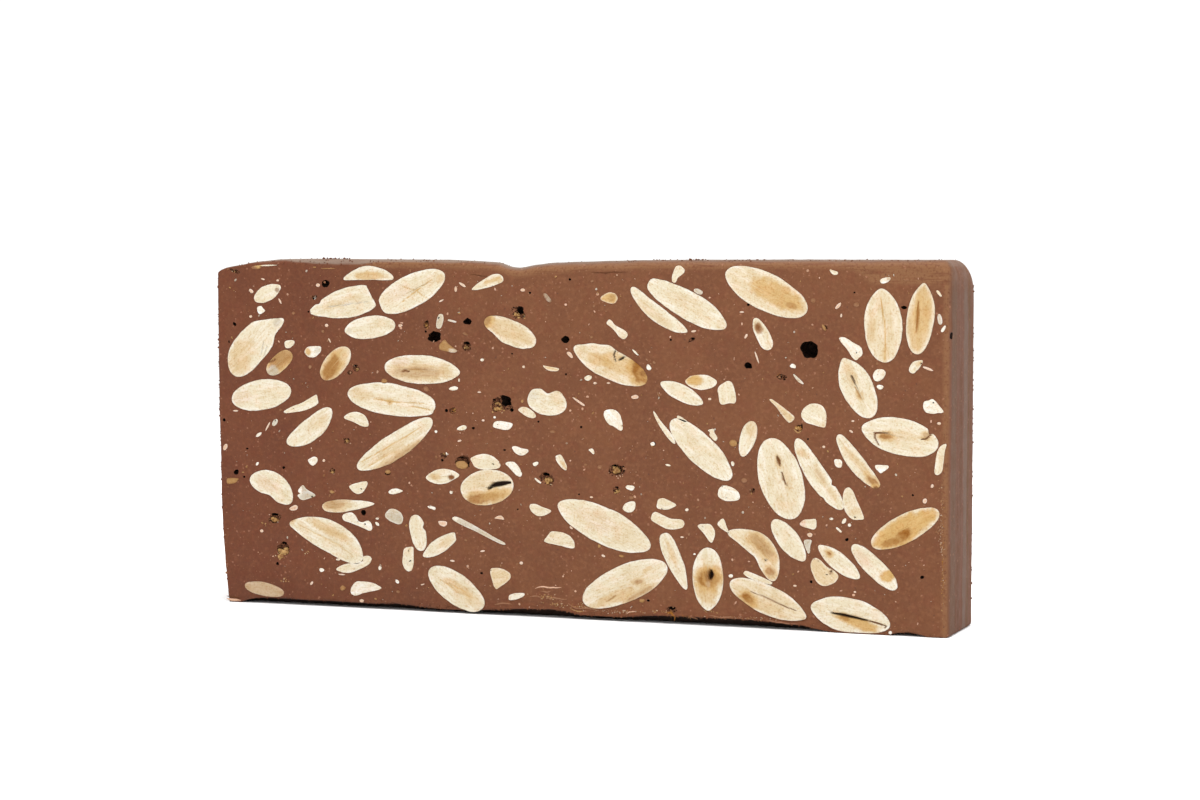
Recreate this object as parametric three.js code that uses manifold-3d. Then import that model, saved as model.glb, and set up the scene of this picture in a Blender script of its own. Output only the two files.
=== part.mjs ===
// A bar of chocolate nougat with almonds, sawn from a slab so that the almonds
// show in section on its two broad faces.
//
// Millimetres, +Z up. X runs along the bar and Y through its thickness. The bar
// stands on one long narrow side, and the origin is in the middle of that side.
// The broad front face looks along -Y.

import * as THREE from "three";
import { mergeVertices } from "three/addons/utils/BufferGeometryUtils.js";
import Module from "manifold-3d";

// Driving dimensions of the bar.
const LENGTH = 187;
const HEIGHT = 86;
const THICKNESS = 24;

const RIGHT = LENGTH / 2;
const LEFT = -RIGHT;
const FRONT = -THICKNESS / 2;
const BACK = THICKNESS / 2;

// The left end leans in towards the foot: by this much at the very bottom, and
// less by a factor e for each LEAN_HEIGHT further up.
const LEAN = 2.7;
const LEAN_HEIGHT = 20;

// How far the front and back edges of the uneven underside are off the ground,
// as [x, gap]. The strip between them, 2 x LAND wide, is flat.
const UNDERSIDE = [
  [-90.2, 0], [-88, 0], [-85, 1.4], [-62, 1.4], [-52, 1.3], [-45, 1.6], [-38, 1.1],
  [-34, 0.8], [-26, 0.8], [-18, 1.4], [-10, 1.9], [-4, 2.1], [0, 1.7], [3, 1.1],
  [14, 1], [19, 1.5], [25, 1.9], [46, 2], [53, 1.6], [59, 1.2], [64, 0.5], [85, 0.5],
  [88, 0], [91, 0],
];
const LAND = 6;
const LARGEST_GAP = Math.max(...UNDERSIDE.map(([, gap]) => gap));
const FOOT_RADIUS = 2;
const FOOT_START = -60; // degrees, where the foot's arc leaves the underside

// The upper side as [x, drop below the full height]: a dip a little left of the
// middle and a worn left corner.
const UPPER_SIDE = [
  [84, 0], [60, 0], [32, 0.1], [20, 0.2], [10, 0.5], [3, 0.7], [-2, 0.9], [-7.4, 1.4],
  [-11.1, 2.2], [-13.6, 2], [-16.8, 0.9], [-21, 0.6], [-30, 0.2], [-48, 0.1], [-64, 0],
  [-76, 0.1], [-82.5, 0.7], [-87.2, 1.7], [-91, 2.7], [-92.9, 3.6],
];

// Heights at which the ends have a point of their own. The right end has none
// in its rounded foot.
const LEFT_END_HEIGHTS = [1, 4, 9, 16, 27, 42, 58, 72];
const RIGHT_END_HEIGHTS = [16, 27, 42, 58, 72];

// Sections through the thickness: how far the outline is drawn in where the
// edges are soft, and the radius of the upper right corner.
const SECTIONS = [
  { y: FRONT, inset: 0.9, corner: 1.6 },
  { y: FRONT + 0.7, inset: 0.35, corner: 1.8 },
  { y: FRONT + 1.8, inset: 0, corner: 2 },
  { y: -LAND, inset: 0, corner: 2.2 },
  { y: LAND, inset: 0, corner: 3 },
  { y: BACK - 2.6, inset: 0.3, corner: 4.5 },
  { y: BACK - 1, inset: 1, corner: 6 },
  { y: BACK, inset: 2, corner: 7.5 },
];
const CRISP = 0.35; // how much of the inset the crisp front edges take
const SOFT_FROM_X = -20; // right of here the upper front edge is soft
const SOFT_RIGHT_END = 5; // and the front edge is soft this near to the right end

// Each almond lies in a bed of the chocolate with this much room round it.
const CLEARANCE = 0.3;
const LOWEST = 0.3; // no almond comes nearer to the ground
const MAX_DEPTH = 4.2;
const MIN_DEPTH = 1.6;
const SHOULDER = { depth: 0.55, size: 0.86 }; // shares of the depth and of the section
const BOTTOM_SIZE = 0.5;
const LONG_ALMOND = 12;
const FINE_SIDES = 14; // of the outline of a long almond
const COARSE_SIDES = 12; // and of a short one

// The almonds that the front face cuts through. x, z: middle of the section;
// turn: degrees anticlockwise from +X, seen from the front. The far end is the
// one that the turn points at. Where a section isn't a plain oval:
//   taper    how much slimmer the far half is
//   near,far how pointed that end is
//   bend     how far the middle bows out to the left of the turn, mm
//   waist    how far the middle is pinched
//   cutNear, cutFar  where that end is cut straight, 1 being its full reach
const FRONT_ALMONDS = [
  { x: -82.7, z: 64.8, length: 20.4, width: 8.8, turn: 43, bend: 0.6, taper: 0.25, far: 0.8 },
  { x: -81.4, z: 52.2, length: 17, width: 7.6, turn: 10 },
  { x: -76.3, z: 60.2, length: 8.6, width: 5, turn: 38, waist: 0.15, tone: "golden" },
  { x: -60.9, z: 60.3, length: 10.8, width: 5.8, turn: 45, tone: "golden" },
  { x: -58.4, z: 75.1, length: 20.6, width: 7.2, turn: 13, taper: -0.3, near: 0.9, cutFar: 0.84 },
  { x: -51.8, z: 81.9, length: 14.2, width: 3.3, turn: 1, near: 0.6, bend: 0.8 },
  { x: -51.5, z: 69.3, length: 14, width: 5.6, turn: 7, near: 0.4 },
  { x: -67.9, z: 44.3, length: 15.5, width: 5.5, turn: 36, bend: -0.5 },
  { x: -45.5, z: 51.7, length: 24.6, width: 7.8, turn: -7, cutFar: 0.94 },
  { x: -40.3, z: 78.3, length: 19.6, width: 8, turn: 25, taper: 0.1, cutNear: 0.93 },
  { x: -37.4, z: 59.2, length: 20.4, width: 7.1, turn: -3, far: 0.6 },
  { x: -14.4, z: 68.6, length: 14.6, width: 6.1, turn: -22, tone: "golden" },
  { x: -4.8, z: 51.9, length: 10.4, width: 6.5, turn: -8 },
  { x: 11.3, z: 61.3, length: 20.4, width: 7.2, turn: -23, near: 0.4 },
  { x: 23.4, z: 73.8, length: 18, width: 3.9, turn: -36, bend: -0.6, far: 0.5 },
  { x: 30.3, z: 75.6, length: 22.8, width: 6.6, turn: -28, taper: -0.12, cutNear: 0.93, far: 0.3 },
  { x: 49.9, z: 78.6, length: 21.8, width: 8.7, turn: -25 },
  { x: 29.3, z: 54.7, length: 12.3, width: 4, turn: -24, near: 0.6, far: 0.6 },
  { x: 34.0, z: 41.6, length: 20, width: 7, turn: -42 },
  { x: 71.8, z: 56.8, length: 15.6, width: 7.6, turn: -63, near: 0.8 },
  { x: 77.8, z: 71.2, length: 17.2, width: 9, turn: -87, near: 0.5 },
  { x: 86.5, z: 72.8, length: 16.8, width: 6.6, turn: 84, far: 0.9, tone: "golden" },
  { x: 81.8, z: 45.8, length: 18.8, width: 8.4, turn: -12, near: 0.4 },
  { x: 45.5, z: 44.3, length: 9, width: 3.9, turn: 72, taper: -0.2 },
  { x: -78.6, z: 29.2, length: 13.2, width: 6.8, turn: -25, bend: 0.6 },
  { x: -57.5, z: 25.4, length: 15, width: 2.9, turn: 5, taper: 0.4, far: 0.5 },
  { x: -63.4, z: 17.0, length: 22, width: 7.8, turn: -23, bend: 0.9, taper: -0.15, near: 0.5 },
  { x: -80.9, z: 3.6, length: 11.6, width: 3.4, turn: -8, tone: "veiled" },
  { x: -44.8, z: 40.7, length: 24, width: 6.2, turn: 32, bend: -0.3 },
  { x: -20.4, z: 31.0, length: 14.2, width: 8.7, turn: 9 },
  { x: -38.7, z: 19.3, length: 9.3, width: 5, turn: -78, waist: 0.15 },
  { x: -32.8, z: 16.5, length: 11.6, width: 3.5, turn: 32, near: 0.7, cutFar: 0.93 },
  { x: -28.6, z: 6.0, length: 16.8, width: 7.6, turn: -31 },
  { x: 9.7, z: 22.8, length: 25.6, width: 8.8, turn: -22, near: 0.3, far: 0.2 },
  { x: 15.0, z: 9.1, length: 23.4, width: 8.8, turn: 24 },
  { x: 27.5, z: 15.2, length: 15.6, width: 3.9, turn: -66, taper: 0.25, cutNear: 0.88 },
  { x: 35.8, z: 11.1, length: 15.2, width: 7.6, turn: 90, near: 0.5 },
  { x: 47.5, z: 18.1, length: 16.4, width: 6, turn: -43, bend: 1.5, taper: -0.2 },
  { x: 50.6, z: 6.9, length: 20.5, width: 6.9, turn: -22, far: 0.6 },
  { x: 53.6, z: 35.3, length: 19.5, width: 10.4, turn: -72 },
  { x: 62.6, z: 36.5, length: 20, width: 4.8, turn: -55, bend: -0.4 },
  { x: 72.1, z: 39.5, length: 16.2, width: 4, turn: -50, bend: -0.4, cutFar: 0.93 },
  { x: 55.6, z: 21.0, length: 12.4, width: 5.2, turn: -50, far: 0.5 },
  { x: 67.6, z: 16.5, length: 12.8, width: 4.1, turn: -36, near: 0.5, far: 0.5 },
  { x: 76.2, z: 15.5, length: 15, width: 4.5, turn: -42, cutFar: 0.94 },
  { x: 83.2, z: 24.8, length: 18, width: 6.4, turn: 28, tone: "golden" },
  { x: 70.4, z: 4.1, length: 19.6, width: 8.2, turn: -11, near: 0.4, far: 0.3 },
];

// The same for the back face, with turn still seen from the front.
const BACK_ALMONDS = [
  { x: -74, z: 66, length: 21, width: 8.8, turn: -28, far: 0.6 },
  { x: -66, z: 27, length: 18, width: 8, turn: 52 },
  { x: -44, z: 50, length: 22, width: 7.2, turn: 14, near: 0.5 },
  { x: -33, z: 17, length: 19, width: 9, turn: -18, taper: 0.2 },
  { x: -16, z: 69, length: 17, width: 6.4, turn: 38, far: 0.7 },
  { x: -4, z: 38, length: 20, width: 8.4, turn: -64 },
  { x: 14, z: 16, length: 16, width: 6, turn: 8, bend: 0.8 },
  { x: 24, z: 58, length: 22, width: 9, turn: 27, near: 0.6 },
  { x: 41, z: 32, length: 15, width: 5.2, turn: -40, far: 0.5 },
  { x: 52, z: 71, length: 18, width: 7.4, turn: -12, cutFar: 0.9 },
  { x: 66, z: 20, length: 21, width: 8.6, turn: 31 },
  { x: 77, z: 50, length: 17, width: 6.8, turn: -76, far: 0.8, tone: "golden" },
];

// Air bubbles that the front face opens: middle, width and height of each. Their
// centres lie inside the face by a share of the radius.
const BUBBLE_SETBACK = 0.35;
const BUBBLE_SIDES = 9;
const BUBBLE_RINGS = 5;
const BUBBLES = [
  { x: 60.4, z: 65.2, width: 4.3, height: 4 },
  { x: -34.6, z: 67.3, width: 3.4, height: 2.6 },
  { x: -25.4, z: 71, width: 1.8, height: 1.8 },
  { x: -63.4, z: 80.1, width: 1.9, height: 1.9 },
  { x: -0.3, z: 67, width: 1.9, height: 1.8 },
  { x: 45.7, z: 61.5, width: 1.7, height: 1.6 },
  { x: -16.7, z: 51.2, width: 6, height: 3 },
  { x: -75.5, z: 14, width: 4, height: 4 },
  { x: -78, z: 21.9, width: 3, height: 2.6 },
  { x: 13, z: 36.1, width: 4, height: 3.2 },
  { x: -4.6, z: 33.2, width: 3.6, height: 3 },
];

const TONES = {
  cream: new THREE.Color(0xe9dab8),
  golden: new THREE.Color(0xcba468),
  veiled: new THREE.Color(0xb89a6e),
};

const wasm = await Module();
wasm.setup();

function arc(centreX, centreZ, radius, fromDegrees, toDegrees, steps) {
  const points = [];
  for (let i = 0; i <= steps; i++) {
    const angle = THREE.MathUtils.degToRad(
      fromDegrees + ((toDegrees - fromDegrees) * i) / steps,
    );
    points.push([centreX + radius * Math.cos(angle), centreZ + radius * Math.sin(angle)]);
  }
  return points;
}

function leftEnd(z) {
  return LEFT + LEAN * Math.exp(-z / LEAN_HEIGHT);
}

// Pushes every point of a closed outline out along its normal.
function grow(outline, distanceAt) {
  const count = outline.length;
  return outline.map(([x, z], i) => {
    const [x0, z0] = outline[(i + count - 1) % count];
    const [x1, z1] = outline[(i + 1) % count];
    const normal = new THREE.Vector2(z1 - z0, x0 - x1).normalize();
    const distance = distanceAt(x, z);
    return [x + normal.x * distance, z + normal.y * distance];
  });
}

// The bar's outline at one section, anticlockwise seen from the front.
function barOutline({ y, inset, corner }) {
  const liftShare = THREE.MathUtils.smoothstep(Math.abs(y), LAND, BACK);
  const underside = UNDERSIDE.map(([x, gap]) => [x, gap * liftShare]);
  const foot = arc(RIGHT - FOOT_RADIUS, FOOT_RADIUS, FOOT_RADIUS, FOOT_START, 0, 3);
  const rightEnd = RIGHT_END_HEIGHTS.map((z) => [RIGHT, z]);
  const shoulder = arc(RIGHT - corner, HEIGHT - corner, corner, 0, 90, 5);
  const upperSide = UPPER_SIDE.map(([x, drop]) => [x, HEIGHT - drop]);
  const leftSide = LEFT_END_HEIGHTS.toReversed().map((z) => [leftEnd(z), z]);
  const outline = [...underside, ...foot, ...rightEnd, ...shoulder, ...upperSide, ...leftSide];
  return grow(outline, (x, z) => {
    const onTheFoot = x > RIGHT - FOOT_RADIUS;
    if (z <= LARGEST_GAP && !onTheFoot) {
      return 0;
    }
    const nearRightEnd = x > RIGHT - SOFT_RIGHT_END;
    const underSoftTop = x > SOFT_FROM_X && z > HEIGHT / 2;
    return -inset * (y > 0 || nearRightEnd || underSoftTop ? 1 : CRISP);
  });
}

// The outline of one almond's section, anticlockwise seen from the front.
function almondOutline(almond) {
  const { x, z, length, width, turn } = almond;
  const { taper = 0, near = 0, far = 0, bend = 0, waist = 0 } = almond;
  const { cutNear = 1, cutFar = 1 } = almond;
  const count = length > LONG_ALMOND ? FINE_SIDES : COARSE_SIDES;
  const angle = THREE.MathUtils.degToRad(turn);
  const outline = [];
  for (let i = 0; i < count; i++) {
    const t = (i / count) * 2 * Math.PI;
    const reach = THREE.MathUtils.clamp(Math.cos(t), -cutNear, cutFar);
    const point = reach > 0 ? far * reach : -near * reach;
    const side = Math.sign(Math.sin(t)) * Math.abs(Math.sin(t)) ** (1 + point);
    const slim = (1 - taper * reach) * (1 - waist * (1 - reach * reach) ** 2);
    const u = (reach * length) / 2;
    const v = (side * slim * width) / 2 + bend * (1 - 2 * reach * reach);
    outline.push([
      x + u * Math.cos(angle) - v * Math.sin(angle),
      Math.max(z + u * Math.sin(angle) + v * Math.cos(angle), LOWEST),
    ]);
  }
  return outline;
}

function middle(outline) {
  const sum = outline.reduce(([sumX, sumZ], [x, z]) => [sumX + x, sumZ + z], [0, 0]);
  return [sum[0] / outline.length, sum[1] / outline.length];
}

function shrink(outline, share) {
  const [middleX, middleZ] = middle(outline);
  return outline.map(([x, z]) => [
    middleX + (x - middleX) * share,
    middleZ + (z - middleZ) * share,
  ]);
}

// Joins outlines of equal length, each at its own y, front to back. The first
// and the last are closed by triangles round a point in their middle.
function loft(layers) {
  const count = layers[0].outline.length;
  const last = (layers.length - 1) * count;
  const frontMiddle = last + count;
  const backMiddle = frontMiddle + 1;
  const ends = [layers[0], layers.at(-1)];
  const middles = ends.map(({ outline, y }) => ({ outline: [middle(outline)], y }));
  const positions = [...layers, ...middles].flatMap(({ outline, y }) =>
    outline.flatMap(([x, z]) => [x, y, z]),
  );
  const index = [];
  for (let i = 0; i < count; i++) {
    const next = (i + 1) % count;
    for (let start = 0; start < last; start += count) {
      index.push(start + i, start + count + next, start + next);
      index.push(start + i, start + count + i, start + count + next);
    }
    index.push(frontMiddle, i, next);
    index.push(backMiddle, last + next, last + i);
  }
  const geometry = new THREE.BufferGeometry();
  geometry.setAttribute("position", new THREE.Float32BufferAttribute(positions, 3));
  geometry.setIndex(index);
  return geometry;
}

// An almond from the cut face inwards, or its bed when room is given. The
// slice through it is the widest part, and it closes like a bowl.
function almondGeometry(almond, face, room) {
  const inwards = -Math.sign(face);
  const depth = THREE.MathUtils.clamp(almond.width / 2, MIN_DEPTH, MAX_DEPTH);
  const section = almondOutline(almond);
  const layers = [
    { y: face - inwards * room, outline: section },
    { y: face + inwards * depth * SHOULDER.depth, outline: shrink(section, SHOULDER.size) },
    { y: face + inwards * (depth + room), outline: shrink(section, BOTTOM_SIZE) },
  ].map(({ y, outline }) => ({ y, outline: grow(outline, () => room) }));
  return loft(inwards > 0 ? layers : layers.toReversed());
}

function bubbleGeometry({ x, z, width, height }) {
  const radius = Math.min(width, height) / 2;
  const bubble = new THREE.SphereGeometry(1, BUBBLE_SIDES, BUBBLE_RINGS);
  bubble.scale(width / 2, radius, height / 2);
  bubble.translate(x, FRONT + radius * BUBBLE_SETBACK, z);
  return bubble;
}

function toSolid(geometry) {
  const bare = geometry.clone();
  bare.deleteAttribute("normal");
  bare.deleteAttribute("uv");
  const merged = mergeVertices(bare);
  const vertProperties = new Float32Array(merged.attributes.position.array);
  const triVerts = new Uint32Array(merged.index.array);
  return new wasm.Manifold(new wasm.Mesh({ numProp: 3, vertProperties, triVerts }));
}

function toGeometry(solid) {
  const mesh = solid.getMesh();
  const geometry = new THREE.BufferGeometry();
  geometry.setAttribute("position", new THREE.BufferAttribute(mesh.vertProperties, 3));
  geometry.setIndex(new THREE.BufferAttribute(mesh.triVerts, 1));
  return geometry;
}

function nougatGeometry() {
  const layers = SECTIONS.map((section) => ({ y: section.y, outline: barOutline(section) }));
  let nougat = toSolid(loft(layers));
  for (const almond of FRONT_ALMONDS) {
    nougat = nougat.subtract(toSolid(almondGeometry(almond, FRONT, CLEARANCE)));
  }
  for (const almond of BACK_ALMONDS) {
    nougat = nougat.subtract(toSolid(almondGeometry(almond, BACK, CLEARANCE)));
  }
  for (const bubble of BUBBLES) {
    nougat = nougat.subtract(toSolid(bubbleGeometry(bubble)));
  }
  return toGeometry(nougat);
}

function nougatMesh() {
  const chocolate = new THREE.MeshStandardMaterial({
    color: 0x85574a,
    roughness: 0.6,
    metalness: 0,
  });
  const mesh = new THREE.Mesh(nougatGeometry(), chocolate);
  mesh.name = "nougat";
  return mesh;
}

function almondMesh(almond, face, name) {
  const nut = new THREE.MeshStandardMaterial({
    color: TONES[almond.tone ?? "cream"],
    roughness: 0.5,
    metalness: 0,
  });
  const mesh = new THREE.Mesh(almondGeometry(almond, face, 0), nut);
  mesh.name = name;
  return mesh;
}

function numbered(name, i) {
  return `${name}_${String(i + 1).padStart(2, "0")}`;
}

const bar = new THREE.Group();
bar.add(nougatMesh());
FRONT_ALMONDS.forEach((almond, i) => {
  bar.add(almondMesh(almond, FRONT, numbered("almond_front", i)));
});
BACK_ALMONDS.forEach((almond, i) => {
  bar.add(almondMesh(almond, BACK, numbered("almond_back", i)));
});

export default bar;
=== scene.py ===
# A bar of chocolate nougat with almonds, dressed round its CAD solids.
#
# Lengths are millimetres until a mesh, a light or the camera is made, which is in
# Blender's metres. X runs along the bar, Y from the front face to the back face
# and Z up. An outline is a closed loop of (x, z) points, anticlockwise as seen
# from the front.

import itertools
import math

import bmesh
import bpy
import numpy as np
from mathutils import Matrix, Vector
from mathutils.bvhtree import BVHTree


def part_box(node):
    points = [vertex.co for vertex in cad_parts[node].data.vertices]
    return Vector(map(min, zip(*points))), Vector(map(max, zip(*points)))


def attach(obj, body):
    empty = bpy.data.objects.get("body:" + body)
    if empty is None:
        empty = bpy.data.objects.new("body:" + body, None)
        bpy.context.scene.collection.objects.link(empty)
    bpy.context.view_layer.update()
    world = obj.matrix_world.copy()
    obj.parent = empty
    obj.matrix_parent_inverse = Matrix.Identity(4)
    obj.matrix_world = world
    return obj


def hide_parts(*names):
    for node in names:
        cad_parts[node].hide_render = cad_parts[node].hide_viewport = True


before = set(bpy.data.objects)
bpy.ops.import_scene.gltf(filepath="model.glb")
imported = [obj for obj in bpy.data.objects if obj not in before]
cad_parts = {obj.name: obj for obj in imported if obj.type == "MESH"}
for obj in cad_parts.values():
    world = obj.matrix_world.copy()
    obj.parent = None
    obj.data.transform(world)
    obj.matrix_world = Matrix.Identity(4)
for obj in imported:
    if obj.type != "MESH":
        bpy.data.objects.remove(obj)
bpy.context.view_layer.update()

MM = 0.001
LOW, HIGH = (np.array(corner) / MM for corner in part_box("nougat"))
RIGHT = HIGH[0]
LEFT = -RIGHT
FRONT, BACK = LOW[1], HIGH[1]
HEIGHT = HIGH[2]

# ---------------------------------------------------------------- camera

TARGET = (4.25, 0, 52.01)
AZIMUTH = 20.69
ELEVATION = 3.21
DISTANCE = 665.1
LENS = 82.44


def make_camera():
    azimuth, elevation = math.radians(AZIMUTH), math.radians(ELEVATION)
    back = (
        math.sin(azimuth) * math.cos(elevation),
        -math.cos(azimuth) * math.cos(elevation),
        math.sin(elevation),
    )
    data = bpy.data.cameras.new("camera")
    data.lens = LENS
    camera = bpy.data.objects.new("camera", data)
    camera.location = [(t + DISTANCE * b) * MM for t, b in zip(TARGET, back)]
    camera.rotation_euler = (math.radians(90) - elevation, 0, azimuth)
    bpy.context.scene.collection.objects.link(camera)
    bpy.context.scene.camera = camera


# ---------------------------------------------------------------- numbers

LATTICE = 32

# Where the seeds of each kind of small thing start.
TEAR_SEED, BUBBLE_SEED, ARRIS_SEED, PIT_SEED, BACK_HOLLOW_SEED = 900, 700, 799, 800, 600
SHARD_SEED, CHIP_SEED, BACK_CHIP_SEED = 400, 500, 1500
HEAP_SEED, BIG_CRUMB_SEED, SHAVING_SEED, ROW_SEED = 3000, 3500, 4000, 5000


def noise(points, size, seed):
    """Smooth noise from -1 to 1 with lumps of the given size, which may differ by axis."""
    table = np.random.default_rng(seed).uniform(-1, 1, (LATTICE,) * 3)
    scaled = np.asarray(points, float) / size
    cell = np.floor(scaled).astype(int)
    share = scaled - cell
    share = share * share * (3 - 2 * share)
    total = np.zeros(len(scaled))
    for corner in itertools.product((0, 1), repeat=3):
        weight = np.prod(np.where(corner, share, 1 - share), axis=1)
        i, j, k = ((cell + corner) % LATTICE).T
        total += weight * table[i, j, k]
    return total


def ramp(value, start, end):
    """0 at start, 1 at end and smooth between them."""
    share = np.clip((value - start) / (end - start), 0, 1)
    return share * share * (3 - 2 * share)


def mix(a, b, share):
    """Colour a where share is 0 and b where it is 1, a row for each point."""
    share = np.asarray(share)[..., None]
    return np.asarray(a) * (1 - share) + np.asarray(b) * share


# ---------------------------------------------------------------- meshes


def make_object(name, points, faces, material=None):
    """An object from points in mm and faces as lists of their numbers."""
    mesh = bpy.data.meshes.new(name)
    mesh.from_pydata((np.asarray(points) * MM).tolist(), [], faces)
    mesh.update()
    if material:
        mesh.materials.append(material)
    made = bpy.data.objects.new(name, mesh)
    bpy.context.scene.collection.objects.link(made)
    return made


def set_colours(made, name, colours):
    """Stores a colour, or any three numbers, for each point."""
    rows = np.ones((len(colours), 4), np.float32)
    rows[:, :3] = colours
    attribute = made.data.attributes.new(name, "FLOAT_COLOR", "POINT")
    attribute.data.foreach_set("color", rows.ravel())


def strip(first, second, closed=True):
    """Quads between two equally long rows of point numbers."""
    if closed:
        first, second = [*first, first[0]], [*second, second[0]]
    return [
        [first[i], first[i + 1], second[i + 1], second[i]]
        for i in range(len(first) - 1)
    ]


def loop_faces(count, size, flipped=False):
    """Faces of a closed solid from a count of loops of the same size, one after another."""
    rows = np.arange(count * size).reshape(count, size).tolist()
    faces = [rows[0][::-1], rows[-1]]
    for first, second in zip(rows, rows[1:]):
        faces += strip(first, second)
    return [f[::-1] for f in faces] if flipped else faces


def sunk_solid(layers, face):
    """Points and faces of a closed solid in a broad face, from layers of (loop, depth)."""
    inwards = -np.sign(face)
    points = [np.insert(loop, 1, face + inwards * sink, axis=1) for loop, sink in layers]
    return np.concatenate(points), loop_faces(len(layers), len(layers[0][0]), inwards > 0)


def shade_smooth(made, sharpest):
    """Smooth shading, apart from edges that turn by more than an angle in degrees."""
    made.data.shade_smooth()
    made.data.set_sharp_from_angle(angle=math.radians(sharpest))


def cut_from(made, cutter):
    """Takes one object out of another. The cut faces keep the cutter's material."""
    cut = made.modifiers.new("cut", "BOOLEAN")
    cut.operation = "DIFFERENCE"
    cut.solver = "MANIFOLD"
    cut.material_mode = "TRANSFER"
    cut.object = cutter
    bpy.context.view_layer.objects.active = made
    bpy.ops.object.modifier_apply(modifier=cut.name)
    bpy.data.objects.remove(cutter)


def unit_ball(steps):
    """Points and triangles of a ball of radius 1."""
    grown = bmesh.new()
    bmesh.ops.create_icosphere(grown, subdivisions=steps, radius=1)
    points = np.array([v.co for v in grown.verts])
    faces = [[v.index for v in f.verts] for f in grown.faces]
    grown.free()
    return points, faces


BALLS = [unit_ball(steps) for steps in (1, 2, 3)]


def lumpy_ball(centre, sizes, turn, lumpiness, seed, fineness):
    """Points and triangles of a rough ball with three diameters, turned in the face."""
    unit, faces = BALLS[fineness]
    rough = noise(unit + seed, 0.9, seed) + 0.5 * noise(unit + seed, 0.4, seed + 1)
    points = unit * (1 + lumpiness * rough)[:, None] * np.array(sizes) / 2
    cos, sin = math.cos(math.radians(turn)), math.sin(math.radians(turn))
    u, w = points[:, 0].copy(), points[:, 2].copy()
    points[:, 0] = u * cos - w * sin
    points[:, 2] = u * sin + w * cos
    return points + centre, faces


class Heap:
    """Gathers many small closed bits that become one mesh."""

    def __init__(self):
        self.points, self.faces, self.tints, self.grains = [], [], [], []
        self.count = 0

    def add(self, points, faces, tint=(0, 0, 0), grain=(0, 0, 0)):
        self.points.append(points)
        self.faces += [[i + self.count for i in f] for f in faces]
        self.tints.append(np.broadcast_to(tint, points.shape))
        self.grains.append(np.broadcast_to(grain, points.shape))
        self.count += len(points)

    def make(self, name, material):
        made = make_object(name, np.concatenate(self.points), self.faces, material)
        set_colours(made, "tint", np.concatenate(self.tints))
        set_colours(made, "grain", np.concatenate(self.grains))
        shade_smooth(made, 50)
        return made

    def dress(self, name, material):
        piece = self.make(name, material)
        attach(piece, "root")


# ---------------------------------------------------------------- shaders


def set_inputs(tree, node, inputs):
    """Sets each input of a node, or links it where the value is a socket."""
    for name, value in inputs.items():
        if isinstance(value, bpy.types.NodeSocket):
            tree.links.new(value, node.inputs[name])
        else:
            node.inputs[name].default_value = value


def add(tree, kind, inputs=(), **settings):
    """A node with its settings made and its inputs set or linked. Gives back the node."""
    made = tree.nodes.new(kind)
    for name, value in settings.items():
        setattr(made, name, value)
    set_inputs(tree, made, dict(inputs))
    return made


def new_material(name):
    """A material with a Principled shader, as (material, node tree, shader)."""
    material = bpy.data.materials.new(name)
    material.use_nodes = True
    tree = material.node_tree
    return material, tree, tree.nodes["Principled BSDF"]


def place_in_mm(tree, stretch=(1, 1, 1)):
    """The point on the object in mm, squeezed by the stretch along each axis."""
    here = add(tree, "ShaderNodeTexCoord").outputs["Object"]
    scale = [1 / MM / s for s in stretch]
    return add(tree, "ShaderNodeMapping", {"Vector": here, "Scale": scale}).outputs[0]


def lumps(tree, place, size, detail=2.0):
    """Noise with lumps of about the given size in mm, from 0 to 1."""
    inputs = {"Vector": place, "Scale": 1 / size, "Detail": detail}
    return add(tree, "ShaderNodeTexNoise", inputs).outputs["Fac"]


def mask(tree, value, start, end, amount=1.0):
    """0 where the value is at start, the amount where it is at end."""
    inputs = {"Value": value, "From Min": start, "From Max": end, "To Max": amount}
    return add(
        tree, "ShaderNodeMapRange", inputs, interpolation_type="SMOOTHSTEP"
    ).outputs[0]


def times(tree, a, b):
    return add(tree, "ShaderNodeMath", {0: a, 1: b}, operation="MULTIPLY").outputs[0]


def tinted(tree, amount, below, above, how="MIX"):
    """One colour over another by an amount."""
    inputs = {0: amount}
    for number, colour in ((6, below), (7, above)):
        inputs[number] = colour if isinstance(colour, bpy.types.NodeSocket) else (*colour, 1)
    return add(tree, "ShaderNodeMix", inputs, data_type="RGBA", blend_type=how).outputs[2]


def bumped(tree, height, distance, normal=None):
    """A normal that a height from 0 to 1 raises by a distance in mm."""
    inputs = {"Height": height, "Distance": distance * MM, "Strength": 1.0}
    if normal:
        inputs["Normal"] = normal
    return add(tree, "ShaderNodeBump", inputs).outputs[0]


def stored(tree, name):
    """The red, green and blue of a stored colour, apart."""
    colour = add(tree, "ShaderNodeAttribute", attribute_name=name).outputs["Color"]
    return add(tree, "ShaderNodeSeparateColor", {"Color": colour}).outputs


def specks(tree, place, cell, radius, share):
    """Round specks of up to the radius in some cells of the given size, from 0 to 1."""
    spread = add(tree, "ShaderNodeTexVoronoi", {"Vector": place, "Scale": 1 / cell})
    spot = mask(tree, spread.outputs["Distance"], radius / cell, 0.6 * radius / cell)
    pick = add(tree, "ShaderNodeSeparateColor", {"Color": spread.outputs["Color"]})
    chosen = mask(tree, pick.outputs[0], share, share - 0.02)
    return times(tree, spot, chosen)


def warped(tree, place, size, distance):
    """The same place moved about by a distance, which makes round things ragged."""
    shift = add(tree, "ShaderNodeTexNoise", {"Vector": place, "Scale": 1 / size}).outputs["Color"]
    centred = add(tree, "ShaderNodeVectorMath", {0: shift, 1: (0.5, 0.5, 0.5)}, operation="SUBTRACT")
    scaled = add(tree, "ShaderNodeVectorMath", {0: centred.outputs[0], "Scale": 2 * distance},
                 operation="SCALE")
    inputs = {0: place, 1: scaled.outputs[0]}
    return add(tree, "ShaderNodeVectorMath", inputs, operation="ADD").outputs[0]


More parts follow.
